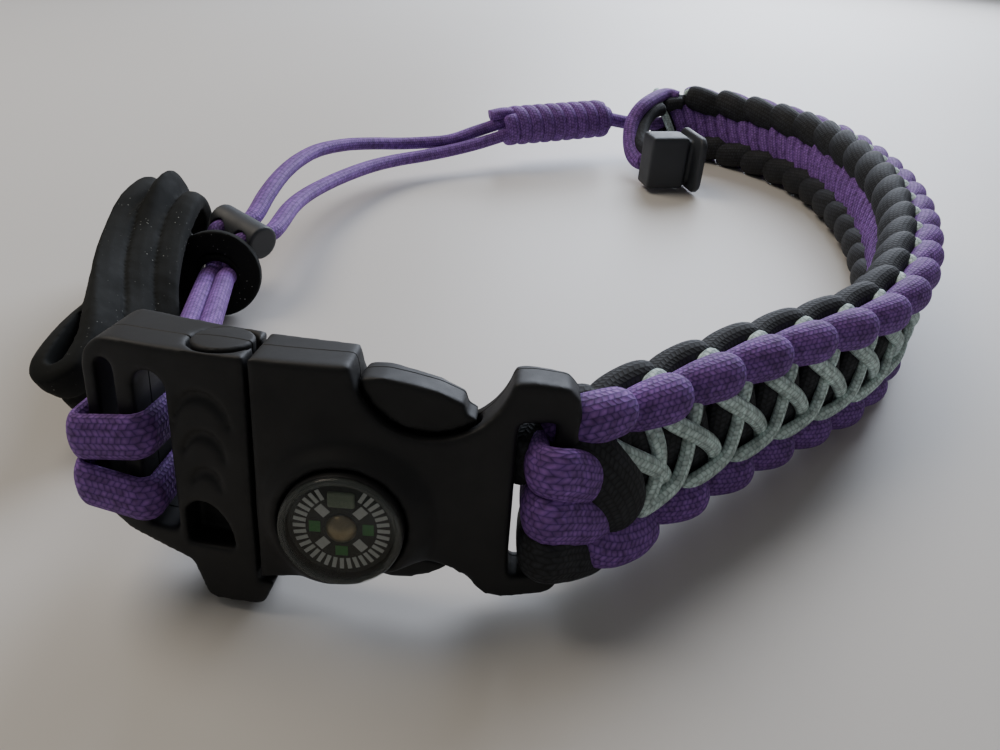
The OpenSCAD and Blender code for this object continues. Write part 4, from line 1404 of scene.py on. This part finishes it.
@dataclass
class Adjuster:
    """The two free spans of cord, the knot that they slide through and what ties it to the band."""

    diameter: float = 3.4
    upper: tuple = (
        (-13.2, 85, 13.2), (-22, 80, 10.9), (-29, 75, 9.3), (-36, 71, 9.2), (-42.5, 67, 9.6),
        (-49, 60.5, 11), (-54.5, 53, 12.4), (-59, 43, 13.6), (-61.2, 32, 14.2), (-62, 20, 14.4),
        (-61.8, 8, 14.2), (-61.5, -4, 13.3), (-63.9, -7.4, 13.3),
    )
    lower: tuple = (
        (-12.4, 82.4, 10.2), (-21, 76.6, 8.4), (-28.6, 72, 7.2), (-35.6, 66.6, 6.8), (-42, 60.4, 7),
        (-47.4, 52, 7.6), (-51.4, 42, 8.4), (-54.4, 31, 9.4), (-56.4, 19, 10.6), (-56.8, 7, 11.8),
        (-56.3, -7.5, 12.5), (-58.7, -11, 12.5),
    )
    knot_near: tuple = (-13.8, 84.4, 11.8)
    knot_way: tuple = (32, 17, 0.4)
    knot_length: float = 35.0
    knot_diameter: float = 11.2
    knot_wraps: int = 9
    # Thickness of the wound cord, of the cords inside it and width of its tail
    wound: float = 3.0
    inside: float = 7.0
    tail_width: float = 4.4
    # How much the toggle presses the spans thinner and wider
    thinner: float = 0.16
    wider: float = 0.14

    def spans(self) -> None:
        """The two free spans, from the knot to the toggle."""
        for name, route in (("adjuster_cord_upper", self.upper), ("adjuster_cord_lower", self.lower)):
            line = evenly(curved(to_frame(route), 8), 0.9 * MM)
            strands = Strands(sides=20, columns=14)
            share = along(line) / along(line)[-1]
            pressed = profile(share, [(0, 0.0), (0.5, 0.4), (0.85, 1.0), (1, 0.1)])
            thick = self.diameter * (1 - self.thinner * pressed) * MM
            strands.add(line, WORLD_UP, thick, self.diameter * (1 + self.wider * pressed) * MM)
            piece = strands.build(name + "_braid", PURPLE_NYLON, (name,), floor=False)
            log.info("%s: %.1f mm long", piece.name, along(line)[-1] / MM)

    def knot(self) -> bpy.types.Object:
        """The wrapped knot: one cord wound round the spans, with its tail at the near end.

        Returns:
            The new piece.
        """
        way = unit(self.knot_way)
        side = unit(np.cross(way, WORLD_UP))
        top = np.cross(side, way)
        pitch = self.knot_length / self.knot_wraps
        cord = pitch * 1.06
        radius = (self.knot_diameter - self.wound) / 2
        turns = np.linspace(0.1, self.knot_wraps - 0.1, self.knot_wraps * 24)
        angle = 2 * np.pi * turns
        centre = np.array(self.knot_near) + way * pitch * turns[:, None]
        round_way = np.cos(angle)[:, None] * top + np.sin(angle)[:, None] * side
        strands = Strands(sides=20, columns=16, squareness=1.35)
        line = to_frame(centre + round_way * radius)
        marks = np.linspace(0, 1, len(line))
        size = profile(marks, [(0, 0.7), (0.02, 1), (0.98, 1), (1, 0.7)])
        strands.add(line, round_way, self.wound * MM * size, cord * MM * size)
        near = np.array(self.knot_near)
        core = near + way * np.linspace(-0.6, self.knot_length + 0.6, 12)[:, None]
        strands.add(to_frame(core), top, self.inside * MM, self.inside * MM)
        tail = [
            near + way * 3 + top * 3.4,
            near + top * 3.7 - side * 0.6,
            near - way * 4.2 + top * 3.0 - side * 1.2,
        ]
        strands.add(to_frame(curved(np.array(tail), 5)), top, self.wound * MM, self.tail_width * MM)
        return strands.build("wrapped_knot", PURPLE_NYLON, ("barrel_knot",))

    def build(self) -> None:
        """Builds the spans and the knot."""
        self.spans()
        log.info("adjuster: %s", self.knot().name)


# Moulded parts


@dataclass
class SoftMoulding:
    """A moulded part with soft edges, worked from a merged copy of its CAD node."""

    node: str
    finish: MouldedPlastic
    # Size of the voxels in millimetres and number of smoothing passes, which set how round the edges get
    voxel: float
    passes: int
    # Share of the faces that is kept
    keep: float = 0.5

    def build(self) -> bpy.types.Object:
        """Copies the node's mesh, rounds its edges and hands it over.

        Returns:
            The finished piece.
        """
        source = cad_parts[self.node]
        piece = add_object(self.node + "_moulding", source.data.copy())
        edit_all(piece)
        bpy.ops.mesh.remove_doubles(threshold=0.001 * MM)
        bpy.ops.object.mode_set(mode="OBJECT")
        apply_modifier(piece, "REMESH", mode="VOXEL", voxel_size=self.voxel * MM)
        apply_modifier(piece, "SMOOTH", factor=0.5, iterations=self.passes)
        apply_modifier(piece, "DECIMATE", ratio=self.keep)
        bpy.ops.object.shade_smooth()
        log.info("%s: %d faces", piece.name, len(piece.data.polygons))
        return hand_over(piece, self.finish, replaced=(self.node,))


@dataclass
class StrapMoulding(SoftMoulding):
    """The ribbed rubber strap, whose middle rib humps up where the loop folds over."""

    # Rows of middle, rise and half width in millimetres: three ribs, and the two creases between them
    ribs: tuple = (
        (-75.2, 3.3, 2.3), (-81.0, 1.0, 2.4), (-70.2, 0.5, 1.8), (-77.7, -0.9, 0.6), (-72.5, -0.8, 0.6),
    )
    # Heights between which the rise fades in, and depths between which it fades in towards the fold
    heights: tuple[float, float] = (8.0, 19.0)
    depths: tuple[float, float] = (-36.0, -21.0)

    def build(self) -> bpy.types.Object:
        """Builds the soft strap and raises its ribs.

        Returns:
            The new piece.
        """
        piece = super().build()
        places = np.empty(3 * len(piece.data.vertices), np.float32)
        piece.data.vertices.foreach_get("co", places)
        places = places.reshape(-1, 3)
        x, y, z = places.T / MM
        fade = 1.0
        for measured, (start, end) in ((z, self.heights), (y, self.depths)):
            share = np.clip((measured - start) / (end - start), 0, 1)
            fade = fade * share * share * (3 - 2 * share)
        for middle, rise, reach in self.ribs:
            places[:, 2] += rise * MM * fade * np.exp(-(((x - middle) / reach) ** 2))
        piece.data.vertices.foreach_set("co", places.ravel())
        piece.data.update()
        return piece


# The compass


@dataclass
class Compass:
    """The small compass: a printed card that turns on a brass pivot under a clear dome.

    Its own axes are x to the right and y up on the card, and z out of the face, in millimetres.
    """

    buckle: Buckle
    # Where it is on the buckle
    along_it: float = 2.1
    height: float = 12.9
    # The capsule: its radius, how deep its floor lies in the face, how far its rim stands out, and its wall
    capsule_radius: float = 6.7
    depth: float = 1.3
    rise: float = 2.3
    wall: float = 0.6
    # How far the card is above the capsule's floor, and its thickness
    card_lift: float = 1.9
    card_thickness: float = 0.5
    # The dome: its play in the capsule, its wall, how far it bulges, and how far its foot is above the rim
    dome_play: float = 0.12
    dome_wall: float = 0.4
    dome_rise: float = 1.1
    dome_lift: float = 0.16
    # The dome's rounded edge: its thickness, its play in the capsule, and how far it is above the rim
    edge_thickness: float = 0.84
    edge_play: float = 0.1
    edge_lift: float = 0.24
    # The pivot cap: its radius, its bulge and the height of its skirt
    pivot_radius: float = 1.65
    pivot_rise: float = 1.0
    pivot_skirt: float = 0.2
    # Number of ticks round the card, and degrees on each side of north that the pod leaves bare
    ticks: int = 36
    bare: float = 20.0

    def axes(self) -> Matrix:
        """The matrix from the card's own axes, in millimetres, to the row frame.

        Returns:
            The matrix.
        """
        b = self.buckle
        spot = [self.along_it, b.face_depth(self.along_it), self.height]
        right, out, up = b.turned([[1, 0, 0], [0, -1, 0], [0, 0, 1]])
        turn = Matrix((np.stack([right, up, out], axis=1) * MM).tolist()).to_4x4()
        turn.translation = b.place([spot])[0]
        return turn

    @property
    def card_top(self) -> float:
        """Height of the card's printed side on the compass's own axis."""
        return -self.depth + self.wall + self.card_lift + self.card_thickness

    def blank(self, name: str, size: tuple, bevel: float) -> bpy.types.Object:
        """Models one small raised mark, flat on the card's plane at the compass's middle.

        Args:
            name: its name.
            size: width, height and thickness in millimetres.
            bevel: how far its corners are taken off.

        Returns:
            The mark, in the compass's own axes.
        """
        deselect_all()
        bpy.ops.mesh.primitive_cube_add(size=1.0, location=(0, 0, 0))
        mark = bpy.context.object
        mark.name = name
        edit_all(mark)
        bpy.ops.transform.resize(value=size)
        bpy.ops.mesh.bevel(offset=bevel, segments=2, affect="EDGES")
        bpy.ops.object.mode_set(mode="OBJECT")
        return mark

    def ring_of(self, mark: bpy.types.Object, radius: float, angles: list[float]) -> bpy.types.Object:
        """Copies a mark round the card and joins the copies.

        Args:
            mark: the mark, upright at the middle.
            radius: how far from the middle each copy's centre is, in millimetres.
            angles: where each copy stands, in degrees from the top.

        Returns:
            One piece with every copy, in the row frame.
        """
        copies = []
        for angle in angles:
            copy = add_object(mark.name, mark.data.copy())
            turn = Matrix.Rotation(-math.radians(angle), 4, "Z")
            copy.data.transform(self.axes() @ turn @ Matrix.Translation((0, radius, self.card_top)))
            copies.append(copy)
        name = mark.name
        bpy.data.objects.remove(mark)
        deselect_all()
        for copy in copies:
            copy.select_set(True)
        bpy.context.view_layer.objects.active = copies[0]
        bpy.ops.object.join()
        copies[0].name = name
        return copies[0]

    def print_marks(self) -> None:
        """The card's white ticks and bars, its luminous squares and the pod at its north."""
        around = [360 / self.ticks * k for k in range(self.ticks)]
        shown = [angle for angle in around if self.bare < angle < 360 - self.bare]
        diagonals, quarters = [45, 135, 225, 315], [90, 180, 270]
        for name, size, bevel, radius, angles, ink in (
            ("card_ticks", (0.45, 1.35, 0.06), 0.02, 4.5, shown, WHITE_INK),
            ("card_bars", (1.05, 1.35, 0.06), 0.02, 2.85, diagonals, WHITE_INK),
            ("card_luminous_squares", (1.35, 1.2, 0.07), 0.02, 2.85, quarters, GREEN_INK),
            ("card_north_pod", (2.9, 1.9, 0.5), 0.24, 3.5, [0], POD_RESIN),
        ):
            hand_over(self.ring_of(self.blank(name, size, bevel), radius, angles), ink, Body.COMPASS)

    def round_cap(self, name: str, radius: float, rise: float, base: float) -> bpy.types.Object:
        """Models a shallow round cap from the top of a sphere.

        Args:
            name: the piece's name.
            radius: the radius of its rim in millimetres.
            rise: how high it stands above the rim.
            base: the height of its rim on the compass's own axis.

        Returns:
            The open cap, in the compass's own axes.
        """
        sphere = (radius**2 + rise**2) / (2 * rise)
        deselect_all()
        bpy.ops.mesh.primitive_uv_sphere_add(segments=64, ring_count=96, radius=sphere, location=(0, 0, 0))
        cap = bpy.context.object
        cap.name = name
        edit_all(cap)
        bpy.ops.mesh.bisect(plane_co=(0, 0, sphere - rise), plane_no=(0, 0, 1), clear_inner=True)
        bpy.ops.object.mode_set(mode="OBJECT")
        cap.data.transform(Matrix.Translation((0, 0, base - sphere + rise)))
        bpy.ops.object.shade_smooth()
        return cap

    def dome(self) -> None:
        """The clear dome, with its thickness, and its rounded edge, whose pale tint and stronger cover are
        a painted highlight.
        """
        radius, foot = self.capsule_radius - self.dome_play, self.rise + self.dome_lift
        dome = self.round_cap("compass_dome_shell", radius, self.dome_rise, foot)
        pick(dome)
        apply_modifier(dome, "SOLIDIFY", thickness=self.dome_wall, offset=-1)
        dome.data.transform(self.axes())
        hand_over(dome, DOME_STYRENE, replaced=("compass_dome",))
        deselect_all()
        half = self.edge_thickness / 2
        middle = self.capsule_radius - self.edge_play - half
        bpy.ops.mesh.primitive_torus_add(
            major_segments=96, minor_segments=14, major_radius=middle, minor_radius=half
        )
        edge = bpy.context.object
        edge.name = "dome_rounded_edge"
        bpy.ops.object.shade_smooth()
        edge.data.transform(self.axes() @ Matrix.Translation((0, 0, self.rise + self.edge_lift)))
        # The edge's pale tint is a painted highlight along the dome's rim
        hand_over(edge, EDGE_STYRENE_HIGHLIGHT)

    def pivot(self) -> None:
        """The domed brass pivot cap, with a short skirt."""
        foot = self.card_top + self.pivot_skirt
        cap = self.round_cap("brass_pivot", self.pivot_radius, self.pivot_rise, foot)
        pick(cap)
        bpy.ops.object.mode_set(mode="EDIT")
        bpy.ops.mesh.select_all(action="DESELECT")
        bpy.ops.mesh.select_mode(type="EDGE")
        bpy.ops.mesh.select_non_manifold()
        bpy.ops.mesh.extrude_region_move(TRANSFORM_OT_translate={"value": (0, 0, -self.pivot_skirt)})
        bpy.ops.mesh.edge_face_add()
        bpy.ops.mesh.select_mode(type="VERT")
        bpy.ops.object.mode_set(mode="OBJECT")
        cap.data.transform(self.axes())
        hand_over(cap, PIVOT_BRASS, Body.COMPASS, replaced=("pivot_cap",))

    def build(self) -> None:
        """Builds what shows of the compass, and gives the CAD card its ink."""
        self.print_marks()
        self.pivot()
        self.dome()
        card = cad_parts["compass_card"]
        card.data.materials.clear()
        card.data.materials.append(CARD_INK.material())
        log.info("compass: card, marks, pivot and dome")


# The photograph's view and light


@dataclass
class Studio:
    """The camera, the plain floor and the soft light."""

    # Where the camera stands, in the source's millimetres, how far it looks down and how it is tilted
    eye: tuple = (-10.0, -150.0, 73.0)
    pitch: float = 32.3
    roll: float = -4.0
    # Focal length in pixels of a picture 1000 wide
    focal: float = 780.0
    picture_width: float = 1000.0
    sensor: float = 36.0
    floor_width: float = 8.0
    sky: str = "E4E4E2"
    sky_strength: float = 0.19
    # Rows of name, place and aim in metres, width in metres, power in watts and colour
    lights: tuple = (
        ("window", (0.22, 0.58, 0.33), (0.09, 0.18, 0.0), 0.6, 7.4, "E8F0FF"),
        ("ceiling", (-0.36, 0.1, 0.55), (-0.08, 0.02, 0.0), 0.4, 1.9, "FFF3E2"),
    )

    def camera(self) -> None:
        """Places the camera at the photograph's viewing angle."""
        pitch, roll = math.radians(self.pitch), math.radians(self.roll)
        ahead = np.array([0, math.cos(pitch), -math.sin(pitch)])
        level = np.array([1.0, 0, 0])
        below = np.cross(ahead, level)
        right = level * math.cos(roll) + below * math.sin(roll)
        down = -level * math.sin(roll) + below * math.cos(roll)
        data = bpy.data.cameras.new("camera")
        data.sensor_width = self.sensor
        data.lens = self.focal / self.picture_width * self.sensor
        data.clip_start = 5 * MM
        data.clip_end = 20.0
        camera = add_object("camera", data)
        turn = Matrix(np.stack([right, -down, -ahead], axis=1).tolist()).to_4x4()
        turn.translation = to_frame(np.array(self.eye))
        camera.matrix_world = turn
        bpy.context.scene.camera = camera

    def floor(self) -> None:
        """The plain pale surface that the bracelet lies on."""
        deselect_all()
        bpy.ops.mesh.primitive_plane_add(size=self.floor_width, location=(0, 0, 0))
        floor = bpy.context.object
        floor.name = "floor"
        floor.data.materials.append(FLOOR_LAMINATE.material())

    def light(self, name: str, place: tuple, aim: tuple, size: float, power: float, colour: str) -> None:
        """Adds one soft area light.

        Args:
            name: the light's name.
            place: where it stands, in metres.
            aim: the point that it faces.
            size: its width in metres.
            power: its power in watts.
            colour: its sRGB hex colour.
        """
        data = bpy.data.lights.new(name, "AREA")
        data.shape = "DISK"
        data.size = size
        data.energy = power
        data.color = linear(colour)[:3]
        data.specular_factor = 0.7
        lamp = add_object(name, data)
        ahead = unit(np.array(aim, float) - np.array(place, float))
        right = unit(np.cross(ahead, WORLD_UP))
        turn = Matrix(np.stack([right, np.cross(right, ahead), -ahead], axis=1).tolist()).to_4x4()
        turn.translation = place
        lamp.matrix_world = turn

    def build(self) -> None:
        """Sets up camera, floor, sky and lights."""
        self.camera()
        self.floor()
        world = bpy.data.worlds.new("pale_room")
        bpy.context.scene.world = world
        world.use_nodes = True
        sky = world.node_tree.nodes["Background"]
        sky.inputs["Color"].default_value = linear(self.sky)
        sky.inputs["Strength"].default_value = self.sky_strength
        for row in self.lights:
            self.light(*row)


def main() -> None:
    """Builds the scene: camera and cords first, then the weave and the moulded parts."""
    logging.basicConfig(level=logging.INFO, format="%(message)s")
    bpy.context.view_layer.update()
    buckle, weave = Buckle(), Weave()
    Studio().build()
    Adjuster().build()
    Hitch(buckle).build()
    weave.build()
    BarCords(buckle, weave).build()
    BandEnd(weave).build()
    Compass(buckle).build()
    for part in (
        SoftMoulding("whistle_half", BLACK_ACETAL, voxel=0.24, passes=24),
        SoftMoulding("socket_half", BLACK_ACETAL, voxel=0.26, passes=34),
        SoftMoulding("side_plug", BLACK_ACETAL, voxel=0.14, passes=3),
        SoftMoulding("compass_cup", BLACK_ACETAL, voxel=0.12, passes=3),
        SoftMoulding("cord_toggle", BLACK_NYLON_PLASTIC, voxel=0.2, passes=10),
        SoftMoulding("end_block", BLACK_NYLON_PLASTIC, voxel=0.28, passes=60),
        StrapMoulding("rubber_strap", BLACK_RUBBER, voxel=0.32, passes=6),
    ):
        part.build()


if __name__ == "__main__":
    main()
